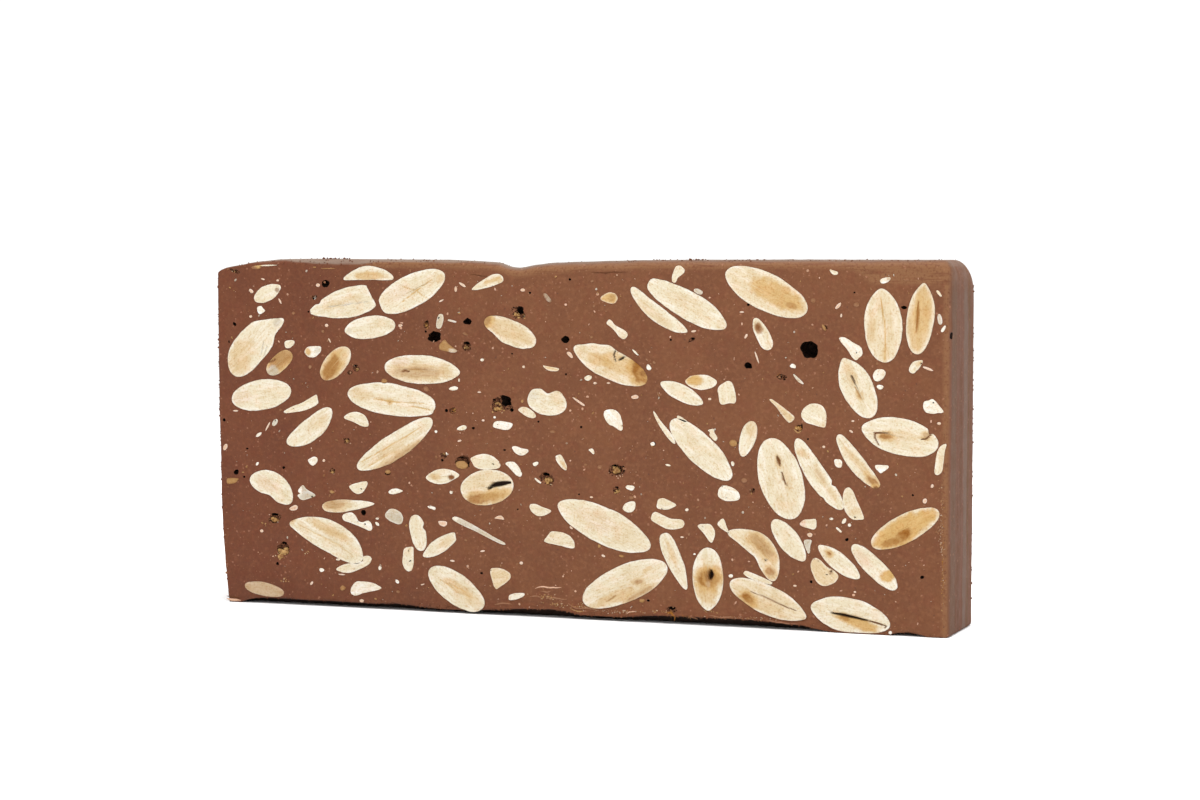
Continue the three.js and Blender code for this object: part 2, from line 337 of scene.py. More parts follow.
def across_band(tree, place, axis, start, end, soft):
    """1 between two places along an axis, 0 outside them."""
    along = add(tree, "ShaderNodeSeparateXYZ", {"Vector": place}).outputs[axis]
    return times(
        tree, mask(tree, along, start, start + soft), mask(tree, along, end, end - soft)
    )


# Colours are linear.
MILK_CHOCOLATE = (0.134, 0.0461, 0.0157)
DEEP_CHOCOLATE = (0.119, 0.0394, 0.0133)
LIGHT_CHOCOLATE = (0.195, 0.076, 0.031)
WARM_ARRIS = (0.175, 0.075, 0.029)
# Partly bloom and partly painted light: the upper side as lit from above.
TOP_BLOOM_AND_LIGHT = (0.200, 0.145, 0.110)
BLOOM = (0.134, 0.0585, 0.0376)
DARK_BLOOM = (0.096, 0.0398, 0.0182)
GREY_BLOOM = (0.105, 0.0585, 0.0353)
BLUE_BLOOM = (0.1305, 0.0866, 0.065)
RED_BLOOM = (0.134, 0.0562, 0.0308)
OLIVE = (0.102, 0.0632, 0.0228)
PINK_SPECK = (0.310, 0.140, 0.080)
LIGHT_SPECK = (0.270, 0.125, 0.070)
DARK_SPECK = (0.070, 0.024, 0.012)
# Painted shade, near black, in the narrow gap under the bar.
UNDERSIDE_PAINTED_SHADE = (0.020, 0.008, 0.004)
# Painted shade: the near black inside the bubbles and pits, where little light reaches.
HOLE_PAINTED_SHADE = (0.004, 0.002, 0.001)
HOLE_GRAIN = (0.020, 0.008, 0.004)
CRUMBLY_LIGHT = (0.230, 0.095, 0.048)
CRUMBLY_DARK = (0.040, 0.0135, 0.006)

# What a colour is multiplied by, in patches, towards the left end and low down. The last two are painted
# shade where the light falls off: darker and redder towards the left end, and darker at the lower left.
REDDER = (1.0, 0.87, 0.88)
DARKER_GRAIN = (0.84, 0.77, 0.75)
LOWER_BAND = (0.97, 0.87, 0.81)
LEFT_END_SHADE = (0.82, 0.66, 0.60)
LOWER_LEFT_SHADE = (0.91, 0.88, 0.89)

STRAND_START = 80.5  # strands show in the warm band above this height
UNDERSIDE_X, UNDERSIDE_Y = 91.5, 11.3  # how far from the middle the painted shade of the underside reaches
UNDERSIDE_TOP = 3.2  # the height where that painted shade ends

# Bands along the moulded sides, as (start, end, softness, colour, amount) in Y.
SKIN_BANDS = [
    (-10.8, -5, 1.2, GREY_BLOOM, 0.8),
    (1, 6, 1.6, BLUE_BLOOM, 0.85),
    (5.8, 7.4, 0.6, OLIVE, 0.6),
    (7.6, 13, 0.8, RED_BLOOM, 0.6),
]


def chocolate_colour(tree, place, side, warm, rough):
    """Milk chocolate with fine flecks, the bloomed skin of the moulded sides, painted light on the upper
    side, and painted shade at the left end, low down at the left and in the gap underneath.
    """
    along, _, height = list(add(tree, "ShaderNodeSeparateXYZ", {"Vector": place}).outputs)
    cloud = mask(tree, lumps(tree, place, 14), 0.35, 0.65)
    colour = tinted(tree, cloud, DEEP_CHOCOLATE, MILK_CHOCOLATE)
    grain = mask(tree, lumps(tree, place, 0.9, 5), 0.45, 0.75, 0.45)
    colour = tinted(tree, grain, colour, LIGHT_CHOCOLATE)
    patches = mask(tree, lumps(tree, place, 2.2, 3), 0.48, 0.66, 0.55)
    colour = tinted(tree, patches, colour, REDDER, "MULTIPLY")
    dark_grain = mask(tree, lumps(tree, place, 0.7, 5), 0.5, 0.32, 0.6)
    colour = tinted(tree, dark_grain, colour, DARKER_GRAIN, "MULTIPLY")
    # Painted shade where the light falls off: darker and redder towards the left end, and darker low down
    # at the left.
    colour = tinted(tree, mask(tree, along, 0, -90), colour, LEFT_END_SHADE, "MULTIPLY")
    low = times(tree, mask(tree, height, 12, 4), mask(tree, along, 10, -60))
    colour = tinted(tree, low, colour, LOWER_LEFT_SHADE, "MULTIPLY")
    colour = tinted(tree, rough, colour, LOWER_BAND, "MULTIPLY")
    grit = mask(tree, lumps(tree, place, 0.6, 4), 0.3, 0.52)
    strands = mask(tree, lumps(tree, place_in_mm(tree, (8, 1, 0.5)), 1, 4), 0.3, 0.5)
    lower = mask(tree, height, STRAND_START, STRAND_START - 1)
    stranded = add(tree, "ShaderNodeMath", {0: strands, 1: lower}, operation="ADD", use_clamp=True)
    grit = times(tree, grit, stranded.outputs[0])
    colour = tinted(tree, times(tree, warm, grit), colour, WARM_ARRIS)

    upright = place_in_mm(tree, (2.5, 0.8, 40))
    streaks = mask(tree, lumps(tree, upright, 1, 3), 0.35, 0.65)
    skin = tinted(tree, streaks, DARK_BLOOM, BLOOM)
    wavy = warped(tree, place, 9, 1)
    for start, end, soft, bloom, amount in SKIN_BANDS:
        band = across_band(tree, wavy, 1, start, end, soft)
        skin = tinted(tree, times(tree, band, amount), skin, bloom)
    colour = tinted(tree, times(tree, side, 0.85), colour, skin)
    # The upper side is paler, partly from its bloom and partly from painted light from above.
    upper = stored(tree, "upper")[0]
    dashes = mask(tree, lumps(tree, place_in_mm(tree, (7, 1, 0.6)), 1, 3), 0.35, 0.6, 0.6)
    colour = tinted(tree, times(tree, upper, 0.75), colour, TOP_BLOOM_AND_LIGHT)
    colour = tinted(tree, times(tree, upper, dashes), colour, TOP_BLOOM_AND_LIGHT)

    ragged = warped(tree, place, 0.5, 0.3)
    colour = tinted(tree, times(tree, specks(tree, ragged, 1.5, 0.3, 0.3), 0.45), colour, PINK_SPECK)
    colour = tinted(tree, times(tree, specks(tree, ragged, 0.85, 0.2, 0.25), 0.4), colour, LIGHT_SPECK)
    colour = tinted(tree, times(tree, specks(tree, ragged, 2.3, 0.25, 0.3), 0.7), colour, DARK_SPECK)
    # Painted shade: near black low down under the bar, where the gap beneath it is in shade.
    along_x = across_band(tree, place, 0, -UNDERSIDE_X, UNDERSIDE_X, 1)
    along_y = across_band(tree, place, 1, -UNDERSIDE_Y, UNDERSIDE_Y, 0.5)
    foot = mask(tree, height, UNDERSIDE_TOP, 2.2)
    return tinted(tree, times(tree, times(tree, along_x, along_y), foot), colour, UNDERSIDE_PAINTED_SHADE)


def chocolate_material():
    """The body stores its zones: moulded side, warm arris and rough lower band."""
    material, tree, shader = new_material("chocolate")
    place = place_in_mm(tree)
    side, warm, rough = list(stored(tree, "zones"))[:3]
    gloss = mask(tree, lumps(tree, place, 3, 3), 0.3, 0.7)
    roughness = add(tree, "ShaderNodeMapRange", {"Value": gloss, "To Min": 0.5, "To Max": 0.66})
    matt = add(tree, "ShaderNodeMapRange", {"Value": side, "To Min": 0, "To Max": 0.28})
    total = add(tree, "ShaderNodeMath", {0: roughness.outputs[0], 1: matt.outputs[0]})
    fine = bumped(tree, lumps(tree, place, 0.5, 4), 0.09)
    along = place_in_mm(tree, (30, 0.9, 2.5))
    flow = times(tree, rough, lumps(tree, along, 1, 3))
    set_inputs(tree, shader, {
        "Base Color": chocolate_colour(tree, place, side, warm, rough),
        "Normal": bumped(tree, flow, 0.8, fine),
        "Roughness": total.outputs[0],
        "Specular IOR Level": 0.25,
    })
    return material


def hollow_material(name, grains, colours, detail, relief, roughness):
    """The inside of a hollow: grains as (size, mask start, mask end) over a ground colour."""
    material, tree, shader = new_material(name)
    place = place_in_mm(tree)
    size, start, end = grains
    grit = mask(tree, lumps(tree, place, size, detail), start, end)
    set_inputs(tree, shader, {
        "Base Color": tinted(tree, grit, *colours),
        "Normal": bumped(tree, lumps(tree, place, 0.3, detail), relief),
        "Roughness": roughness,
        "Specular IOR Level": 0.1,
    })
    return material


# The tints of almond flesh, crumbs, shavings and painted shadow lines in creases, linear.
TONES = {
    "cream": (0.560, 0.505, 0.378),
    "warm": (0.515, 0.405, 0.250),
    "pale": (0.620, 0.590, 0.505),
    "golden": (0.440, 0.280, 0.105),
    "tan": (0.300, 0.170, 0.065),
    "brown": (0.160, 0.066, 0.022),
    "dark": (0.016, 0.007, 0.004),
    "grey": (0.400, 0.360, 0.285),
    "orange": (0.220, 0.085, 0.012),
    "pink": (0.500, 0.310, 0.210),
    "veiled": (0.225, 0.115, 0.058),
    "shaving": (0.225, 0.108, 0.058),
    # Painted shadow, for dark lines in creases of the surface.
    "crease_shadow": (0.080, 0.028, 0.0094),
}
# What the flesh is multiplied by where it varies.
FLECK = (0.72, 0.52, 0.36)
THREAD = (0.78, 0.62, 0.45)
CLOUD = (0.91, 0.87, 0.80)
WHITER = (1.12, 1.17, 1.34)
BLUSH = (1.02, 0.94, 0.90)


def almond_material():
    """Almond flesh: each piece stores its tint, and where a point lies in its grain."""
    material, tree, shader = new_material("almond")
    tint = add(tree, "ShaderNodeAttribute", attribute_name="tint").outputs["Color"]
    grain = add(tree, "ShaderNodeAttribute", attribute_name="grain").outputs["Vector"]
    fibres = add(tree, "ShaderNodeMapping", {"Vector": grain, "Scale": (0.2, 1.0, 7.0)}).outputs[0]
    place = place_in_mm(tree)

    threads = lumps(tree, fibres, 0.35, 4)
    clouds = mask(tree, lumps(tree, place, 2.2, 3), 0.45, 0.7, 0.8)
    colour = tinted(tree, clouds, tint, CLOUD, "MULTIPLY")
    whiter = mask(tree, lumps(tree, fibres, 1.1, 3), 0.42, 0.7, 0.8)
    colour = tinted(tree, whiter, colour, WHITER, "MULTIPLY")
    blush = mask(tree, lumps(tree, place, 3.1, 2), 0.5, 0.66, 0.6)
    colour = tinted(tree, blush, colour, BLUSH, "MULTIPLY")
    grit = mask(tree, lumps(tree, place, 0.5, 4), 0.5, 0.34, 0.55)
    colour = tinted(tree, grit, colour, THREAD, "MULTIPLY")
    colour = tinted(tree, mask(tree, threads, 0.54, 0.68, 0.45), colour, THREAD, "MULTIPLY")
    ragged = warped(tree, place, 0.4, 0.2)
    colour = tinted(tree, times(tree, specks(tree, ragged, 0.9, 0.16, 0.4), 0.6), colour, FLECK, "MULTIPLY")
    height = bumped(tree, threads, 0.12)
    set_inputs(tree, shader, {
        "Base Color": colour,
        "Normal": bumped(tree, lumps(tree, place, 0.4, 3), 0.06, height),
        "Roughness": 0.62,
        "Specular IOR Level": 0.1,
    })
    return material


# ---------------------------------------------------------------- the chocolate

# How far the front and back edges of the underside are off the ground, and how
# far the upper side drops, as (x, distance).
UNDERSIDE = [
    (-90.2, 0), (-88.6, 0.6), (-86, 1.2), (-83, 1.4), (-62, 1.4), (-52, 1.3), (-45, 1.6), (-38, 1.1),
    (-34, 0.8), (-26, 0.8), (-18, 1.4), (-10, 1.9), (-4, 2.1), (0, 1.7), (3, 1.1),
    (14, 1), (19, 1.5), (25, 1.9), (46, 2), (53, 1.6), (59, 1.2), (64, 0.3), (68, 0), (79.5, 0),
    (81, 0.6), (84, 0.9), (86, 0.6), (88.5, 0), (91, 0),
]
UPPER_SIDE = [
    (-92.9, 2.9), (-91, 2.2), (-89.3, 1.8), (-87.2, 1.5), (-82.5, 0.7), (-76, 0.1), (-64, 0),
    (-48, 0.1), (-30, 0.2), (-21, 0.6), (-16.8, 0.9), (-13.6, 2), (-11.1, 2.2), (-7.4, 1.4), (-2, 0.9),
    (3, 0.7), (10, 0.5), (20, 0.2), (32, 0.1), (60, 0), (84, 0),
]
LAND = 7  # half the width of the flat strip that the bar stands on
LEAN = 2.7  # how far the left end's foot is drawn in
LEAN_HEIGHT = 20
FOOT_RADIUS = 0.8
SMALL_CORNER = 1.0
SHOULDER = ((-12, -6, 6, 9.4, 11, 12), (1.6, 2.4, 3.6, 4.3, 4.7, 5.2))  # y, radius
SHOULDER_HEIGHT = 1.6  # times the radius
VIEW_SHEAR = 0.41  # the dip in the upper side runs this far left for each mm to the back

# Radii of the arrises, where the broad faces meet the moulded sides.
CRISP_ARRIS = 0.35
TOP_ARRIS = 1.25
SOFT_ARRIS = 1.8
RIGHT_ARRIS = 1.6
LOWER_ARRIS = 0.5
BACK_ARRIS = 0.9
ARRIS_STEPS = 6
WALL_STEP = 1.2
EDGE_BLEND = 0.5
SIDE_DEPTH = 4.5  # how far in from a moulded side its skin is looked for
FRONT_DEPTH = 2.5  # how far behind the front face its own colours reach


def spaced(start, end, fine, coarse, margin):
    """Positions from start to end, with fine steps in a margin at each end."""
    inner = round((end - start - 2 * margin) / coarse)
    rim = round(margin / fine)
    return np.concatenate([
        np.linspace(start, start + margin, rim, endpoint=False),
        np.linspace(start + margin, end - margin, inner, endpoint=False),
        np.linspace(end - margin, end, rim + 1),
    ])


def by_side(x, z, left, right, lower, upper):
    """The value of the nearest side, blended at the corners."""
    near = np.exp(-np.stack([x - LEFT, RIGHT - x, z, HEIGHT - z]) / EDGE_BLEND)
    values = np.stack(np.broadcast_arrays(left, right, lower, upper))
    return (near * values).sum(0) / near.sum(0)


def worn(position, size, seed):
    """From 0 to 1 along an edge, for wear that comes and goes."""
    line = np.stack([position, 0 * position, 0 * position], 1)
    return np.clip(noise(line, size, seed) * 0.8 + noise(line, size / 4, seed + 1) * 0.4, 0, 1)


def front_radii(x, z):
    """Radius of the front arris at the left, right, lower and upper side."""
    left = CRISP_ARRIS + 0.5 * worn(z, 6, 11)
    right = RIGHT_ARRIS + 0.5 * worn(z, 9, 12)
    lower = LOWER_ARRIS + 0.5 * worn(x, 7, 13)
    rounded, soft = ramp(x, -88, -78), ramp(x, -34, -14)
    upper = CRISP_ARRIS + (TOP_ARRIS - CRISP_ARRIS) * rounded + (SOFT_ARRIS - TOP_ARRIS) * soft
    upper += 0.4 * worn(x, 8, 14)
    return left, right, lower, upper


def round_corner(x, z, corner_x, corner_z, towards_x, towards_z, radius, tall=1):
    """Turns a square corner of the outline into a round one, or a taller one."""
    centre_x = corner_x - towards_x * radius
    centre_z = corner_z - towards_z * radius * tall
    over_x = np.maximum((x - centre_x) * towards_x, 0)
    over_z = np.maximum((z - centre_z) * towards_z, 0)
    both = (over_x > 0) & (over_z > 0)
    reach = np.where(both, np.hypot(over_x, over_z / tall), 1)
    scale = np.where(both, np.maximum(over_x, over_z / tall) / reach, 1)
    x = np.where(both, centre_x + towards_x * over_x * scale, x)
    z = np.where(both, centre_z + towards_z * over_z * scale, z)
    return x, z


def fallen(x, y):
    """How far the upper side has dropped at a place."""
    return np.interp(x + VIEW_SHEAR * (y - FRONT), *zip(*UPPER_SIDE))


def body_place(x, z, station):
    """Where a point of the plain rectangle lies at one station through the thickness."""
    front, back, share = station
    radii = front_radii(x, z)
    front_radius = by_side(x, z, *radii)
    front_tuck, front_sink = front
    back_tuck, back_sink = back
    near, far = FRONT + front_radius * front_sink, BACK - BACK_ARRIS * back_sink
    y = near + (far - near) * share
    inset = [r * front_tuck * (1 - share) + BACK_ARRIS * back_tuck * share for r in radii]
    left, right, lower, upper = inset
    x = LEFT + left + (x - LEFT) / (RIGHT - LEFT) * (RIGHT - LEFT - left - right)
    z = lower + z / HEIGHT * (HEIGHT - lower - upper)
    shoulder = np.interp(y, *SHOULDER)
    x, z = round_corner(x, z, RIGHT - right, HEIGHT - upper, 1, 1, shoulder, SHOULDER_HEIGHT)
    x, z = round_corner(x, z, RIGHT - right, lower, 1, -1, FOOT_RADIUS)
    x, z = round_corner(x, z, LEFT + left, HEIGHT - upper, -1, 1, SMALL_CORNER)
    lift = np.interp(x, *zip(*UNDERSIDE)) * ramp(np.abs(y), LAND, LAND + 3)
    drop = fallen(x, y)
    lean = LEAN * np.exp(-z / LEAN_HEIGHT) * np.clip(1 - (x - LEFT) / 40, 0, 1)
    z = z + lift * np.clip(1 - z / 12, 0, 1) - drop * np.clip((z - 60) / (HEIGHT - 60), 0, 1) ** 2
    return np.stack([x + lean, y, z], 1)


def stations():
    """Through the thickness: tuck and sink of each arris, and the share of the way."""
    turns = np.radians(np.linspace(0, 90, ARRIS_STEPS + 1))
    arris = [(1 - math.sin(t), 1 - math.cos(t)) for t in turns]
    walls = round((BACK - FRONT) / WALL_STEP)
    found = [(a, (0, 0), 0.0) for a in arris]
    found += [((0, 1), (0, 1), i / walls) for i in range(1, walls)]
    found += [((0, 0), a, 1.0) for a in arris[::-1]]
    return found


def body_grid():
    """Points and faces of the bar before it is cut, and how far each is on the sides."""
    columns = spaced(LEFT, RIGHT, 0.45, 0.95, 5)
    rows = spaced(0, HEIGHT, 0.35, 0.95, 6)
    x, z = (a.ravel() for a in np.meshgrid(columns, rows))
    number = np.arange(len(x)).reshape(len(rows), len(columns))
    rim = np.concatenate([number[0, :-1], number[:-1, -1], number[-1, :0:-1], number[:0:-1, 0]])
    through = stations()
    points = [body_place(x, z, through[0])]
    side = [np.zeros(len(x))]
    rings = [rim]
    count = len(x)
    for station in through[1:-1]:
        points.append(body_place(x[rim], z[rim], station))
        tuck = station[0][0] * (1 - station[2]) + station[1][0] * station[2]
        side.append(np.full(len(rim), 1 - tuck))
        rings.append(count + np.arange(len(rim)))
        count += len(rim)
    points.append(body_place(x, z, through[-1]))
    side.append(np.zeros(len(x)))
    rings.append(count + rim)
    faces = []
    for row, above in zip(number, number[1:]):
        faces += strip(row, above, closed=False)
        faces += [f[::-1] for f in strip(row + count, above + count, closed=False)]
    for first, second in zip(rings, rings[1:]):
        faces += [f[::-1] for f in strip(first, second)]
    return np.concatenate(points), [[int(i) for i in f] for f in faces], np.concatenate(side)


def relieved(points, side):
    """Pushes the bar's points in by its fine relief."""
    x, y, z = points.T
    front = (1 - side) * (y < 0)
    back = (1 - side) * (y > 0)
    gentle = 0.05 * noise(points, 9, 21) + 0.03 * noise(points, 2.2, 22)
    band = (1 - ramp(z, 1.5, 6.5)) * ramp(x, -40, -15) * (1 - ramp(x, 72, 86))
    flow = noise(points, (7, 3, 0.7), 23) + 0.6 * noise(points, (2, 2, 0.6), 24)
    depth = 0.06 + gentle + 0.16 * band * (1 + flow)
    moved = points.copy()
    moved[:, 1] += depth * front - (0.06 + gentle) * back
    ends = side * ramp(np.abs(x), RIGHT - 9, RIGHT - 6) * np.sign(x)
    streak = 0.1 * noise(points, (4, 1.1, 30), 25) + 0.05 * noise(points, 1.6, 26)
    moved[:, 0] -= ends * (0.03 + streak)
    top = side * ramp(z, HEIGHT - 9, HEIGHT - 7)
    moved[:, 2] -= top * (0.02 + 0.1 * noise(points, (26, 1.3, 4), 27) + 0.05 * noise(points, 1.6, 28))
    return moved


def body_zones(points, facing):
    """How much of each point is moulded side, warm soft arris and rough lower band."""
    x, y, z = points.T
    front = (y < FRONT + FRONT_DEPTH) * 1.0
    edge = 0.6 * noise(points, 5, 31)
    below = HEIGHT - fallen(x, y) - z + 0.4 * edge
    deeper = ramp(x, 70, 76)
    top = (1 - ramp(below, 1.3 + 3.5 * deeper, 2.7 + 3.3 * deeper)) * ramp(x, -58, -50)
    right = ramp(x, RIGHT - 2.1, RIGHT - 1.1 + 0.5 * edge)
    corner = ramp(x, RIGHT - 9, RIGHT - 3) * ramp(z, HEIGHT - 9, HEIGHT - 3)
    warm = np.clip((top + 0.9 * right) * front + 0.5 * corner, 0, 1)
    rough = (1 - ramp(z, 1, 6)) * ramp(x, -40, -15) * (1 - ramp(x, 70, 85)) * front
    outer = np.minimum(np.minimum(RIGHT - np.abs(x), z), HEIGHT - z) < SIDE_DEPTH
    moulded = (1 - ramp(facing, 0.15, 0.85)) * outer * (1 - 0.6 * corner)
    return np.stack([moulded, warm * (1 - moulded), rough], 1)


# How far down the front face the bloom and painted light of the upper side reach, as (x, distance).
FRONT_BLOOM_AND_LIGHT = [(-77, 0), (-71, 0.9), (-65, 1.4), (-56, 1.4), (-50, 0.8), (-28, 0.8), (-22, 0)]


def upper_bloom_and_light(points, moulded):
    """How much of each point is the upper side's pale tone, partly bloom and partly painted light from
    above, paler left of the dip.
    """
    x, y, z = points.T
    below = HEIGHT - fallen(x, y) - z + 0.15 * noise(points, (3, 1, 1), 33)
    amount = (0.9 - 0.3 * ramp(x, -18, -8)) * (1 - ramp(below, 1.2, 1.7)) * moulded
    reach = np.interp(x, *zip(*FRONT_BLOOM_AND_LIGHT))
    front = ramp(reach, 0.1, 0.6) * (1 - ramp(below, reach - 0.5, reach)) * (y < FRONT + FRONT_DEPTH)
    return np.stack([np.maximum(amount, 0.9 * front), 0 * x, 0 * x], 1)


def set_zones(body):
    """Stores the zones, once the body has its final shape."""
    count = len(body.data.vertices)
    points, facing = np.zeros(count * 3), np.zeros(count * 3)
    body.data.vertices.foreach_get("co", points)
    body.data.vertices.foreach_get("normal", facing)
    facing = np.abs(facing.reshape(-1, 3)[:, 1])
    points = points.reshape(-1, 3) / MM
    zones = body_zones(points, facing)
    set_colours(body, "zones", zones)
    set_colours(body, "upper", upper_bloom_and_light(points, zones[:, 0]))


def make_body(material):
    points, faces, side = body_grid()
    return make_object("nougat_body", relieved(points, side), faces, material)


# ---------------------------------------------------------------- almond sections

SMOOTHING = 3
BLUNTING = 6
RIM = 0.08
PROUD = 0.04
BED_GAP = 0.03
BED_STEP = 0.55
BACK_HOLLOWS = 60
BACK_MARGIN = 5
BOWL = ((0.55, 0.86), (1.0, 0.5))  # share of the depth, share of the outline

# The almonds that aren't cream, and the start of each almond's seeded noise.
ALMOND_TONES = {
    "almond_front_03": "golden", "almond_front_04": "golden", "almond_front_12": "blond",
    "almond_front_22": "golden", "almond_front_46": "golden", "almond_back_12": "golden",
    "almond_front_28": "veiled", "almond_front_14": "warm", "almond_front_17": "warm",
    "almond_front_21": "warm", "almond_front_30": "warm", "almond_front_38": "warm",
    "almond_front_39": "warm",
}
TOASTED = {"golden": 0.75, "blond": 0.35}  # how golden the flesh is
SEEDS = {
    node: 100 + 7 * number
    for number, node in enumerate(sorted(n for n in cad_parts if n.startswith("almond")))
}

# CUTS, DENTS, STAINS and CRACKS go by an almond's number in the front face.
# Straight cuts across an almond, as (x, z, direction that is cut away in degrees).
CUTS = {
    5: [(-50.9, 77, 28), (-67.6, 73, 190)],
    32: [(-28.6, 18.6, 10)],
    45: [(81.2, 13.2, 12)],
}

# Dents and bulges of an almond's outline, as (x, z, reach along it, push outwards).
DENTS = {
    1: [(-76.8, 67.2, 3.5, -0.7), (-83, 70.2, 4, 0.3)],
    5: [(-65.3, 75.2, 1.2, -0.5)],
    9: [(-34, 49, 0.8, -0.5)],
    12: [(-19, 68, 4.5, -0.6)],
    13: [(-4.5, 55, 2.2, -1.1), (-8.5, 54.6, 2, 0.4), (-1.5, 54.4, 2, 0.4)],
    14: [(4.5, 66.8, 3, -0.3), (11.3, 66, 3, 0.6), (12.9, 65.8, 1.2, -0.5)],
    23: [(89, 47, 0.9, -0.8)],
    25: [(-79.5, 26.6, 3, -0.6)],
    31: [(-36.8, 20.8, 1.1, -0.7), (-40.4, 15.6, 0.9, -0.5)],
    38: [(47, 16.5, 3, -0.4)],
    41: [(66.3, 34.6, 0.9, -0.6), (59.2, 38, 1, -0.3), (64, 31.3, 1, -0.4)],
}

# Stains in the almonds' flesh, as (tone, x, z, length, width, turn, strength).
# The roasted tones have a golden edge.
ROASTED = ("orange", "tan", "brown")
STAINS = {
    1: [("golden", -87.2, 61.5, 12, 7, 60, 0.5), ("grey", -76.8, 70.4, 3, 2, 40, 0.6)],
    2: [("pink", -86.5, 51.5, 7, 4, 10, 0.25)],
    3: [("tan", -75.8, 61.3, 9, 5, 32, 0.9), ("grey", -78.1, 58, 3.8, 3.6, 0, 0.8)],
    4: [("orange", -62, 59.3, 8.6, 4, 52, 0.75), ("warm", -58.3, 62.6, 4, 3, 50, 0.5)],
    5: [("golden", -60, 75.2, 14, 2.5, 15, 0.25)],
    6: [("golden", -51.5, 82, 10, 2.4, 0, 0.75)],
    7: [("grey", -57, 68.4, 1.6, 1.4, 0, 0.5)],
    8: [("golden", -66, 46, 8, 3, 36, 0.25)],
    9: [("golden", -54, 53.2, 7, 4, -5, 0.4), ("brown", -46.1, 51.3, 0.9, 0.7, 0, 0.9)],
    10: [("golden", -32.5, 81.3, 3, 2, 40, 0.5), ("pink", -44, 78, 8, 4, 25, 0.2)],
    11: [("tan", -38.5, 58.6, 14, 3.2, 0, 0.55), ("pink", -43, 61, 6, 3, 0, 0.3)],
    12: [("golden", -15, 69, 14, 5, -22, 0.25), ("tan", -20.6, 71.4, 3, 3, 0, 1)],
    13: [("golden", -2, 53, 5, 4, -20, 0.35), ("grey", -8.2, 53.5, 3, 2.6, 0, 0.3)],
    14: [("golden", 14, 61, 12, 6, -15, 0.6), ("golden", 8.5, 62.3, 8, 3.5, -10, 0.6),
         ("orange", 19.2, 59.9, 7, 4.6, -80, 0.95), ("brown", 19.7, 59.2, 2, 1.6, 0, 0.5)],
    15: [("golden", 22, 73.5, 16, 2.6, -36, 0.35)],
    16: [("golden", 30, 76, 12, 3, -28, 0.2), ("golden", 39.3, 70.8, 4, 3, -40, 0.3)],
    17: [("golden", 52.5, 78, 17, 6, -25, 0.85), ("orange", 56, 75.5, 3.4, 1.6, -20, 0.5)],
    20: [("golden", 70, 60.5, 8, 3, -65, 0.35), ("tan", 72.4, 54.9, 1.4, 0.9, -60, 0.7)],
    21: [("golden", 78.4, 65, 6, 1.6, 90, 0.45), ("golden", 75.2, 71, 8, 2, 88, 0.3)],
    22: [("orange", 85.9, 73, 8, 1.1, 88, 0.6), ("golden", 87.8, 73, 8, 2, 84, 0.5)],
    23: [("orange", 78.6, 45.8, 3.6, 1.3, -3, 0.8), ("golden", 83, 46, 9, 2.4, -5, 0.3),
         ("tan", 88, 46.2, 1.6, 1.2, 0, 0.6)],
    24: [("golden", 46.4, 47.4, 5, 3, 72, 0.4)],
    25: [("pink", -80, 30, 7, 4, -20, 0.25)],
    26: [("tan", -61, 25.6, 7, 2.6, 5, 0.6), ("pale", -53, 26.2, 6, 2, 3, 0.6)],
    27: [("golden", -62.5, 19, 16, 2.8, -24, 0.6), ("orange", -73.4, 21.4, 1.8, 1.6, 0, 0.7)],
    29: [("tan", -43.5, 37.8, 20, 2, 32, 0.6), ("golden", -46, 39.5, 14, 3, 32, 0.35)],
    30: [("orange", -21.3, 28.4, 11, 2.6, 9, 0.75), ("golden", -18, 29.4, 10, 3, 12, 0.5)],
    32: [("golden", -31, 17.4, 6, 2.4, 32, 0.35)],
    33: [("golden", -28.4, 6.6, 10, 2.6, -30, 0.6), ("golden", -24, 3, 6, 3, -40, 0.3)],
    34: [("pink", 8, 24, 14, 5, -22, 0.15)],
    35: [("golden", 12, 5.6, 14, 3, 26, 0.6), ("orange", 18.4, 9.8, 2.6, 1.2, 10, 0.55),
         ("golden", 20.6, 12.8, 3, 1.2, 40, 0.5), ("tan", 19, 7, 8, 1.4, 30, 0.6)],
    36: [("golden", 27, 16.5, 8, 1.8, -66, 0.55)],
    37: [("golden", 35.6, 8.6, 6.4, 8, 0, 0.6), ("orange", 36, 11.2, 5.6, 4.6, 0, 1),
         ("brown", 36.4, 11.8, 2.6, 3.4, 0, 0.6), ("pale", 36, 10, 1.2, 1.6, 0, 0.15)],
    38: [("tan", 49, 19.4, 8, 3, -40, 0.7), ("orange", 51.2, 13.6, 2.8, 2, -10, 0.6),
         ("dark", 50.1, 16.2, 0.8, 0.6, 0, 1.0)],
    39: [("orange", 45.6, 7.2, 4, 2.4, -30, 0.95), ("golden", 50, 5.4, 12, 3, -20, 0.4)],
    40: [("golden", 53, 39.4, 4, 2, -75, 0.5), ("golden", 55.2, 34.5, 5, 1.8, -70, 0.3)],
    41: [("golden", 58.6, 41.4, 3, 2, -55, 0.5), ("tan", 63, 36.4, 4, 0.8, -55, 0.4),
         ("golden", 66, 32, 4, 2, -60, 0.4)],
    42: [("golden", 72.5, 39, 12, 2, -50, 0.5), ("orange", 75.6, 35.4, 4, 1.6, -40, 0.7),
         ("brown", 76.4, 33.9, 1.4, 0.9, -20, 0.8)],
    44: [("orange", 65.3, 18.4, 1.4, 0.9, -40, 0.9)],
    45: [("pink", 73, 17.6, 6, 3, -42, 0.3), ("golden", 79.1, 13.7, 4, 3, 20, 1)],
    46: [("golden", 83, 24.6, 19, 6.4, 28, 1), ("orange", 82.6, 22.9, 6, 2.8, 45, 1),
         ("orange", 80.1, 21.4, 5, 2, 15, 0.6)],
    47: [("golden", 72.3, 2.6, 13, 3.2, -17, 0.95), ("orange", 69.2, 3.5, 3, 1.2, -17, 0.6)],
}

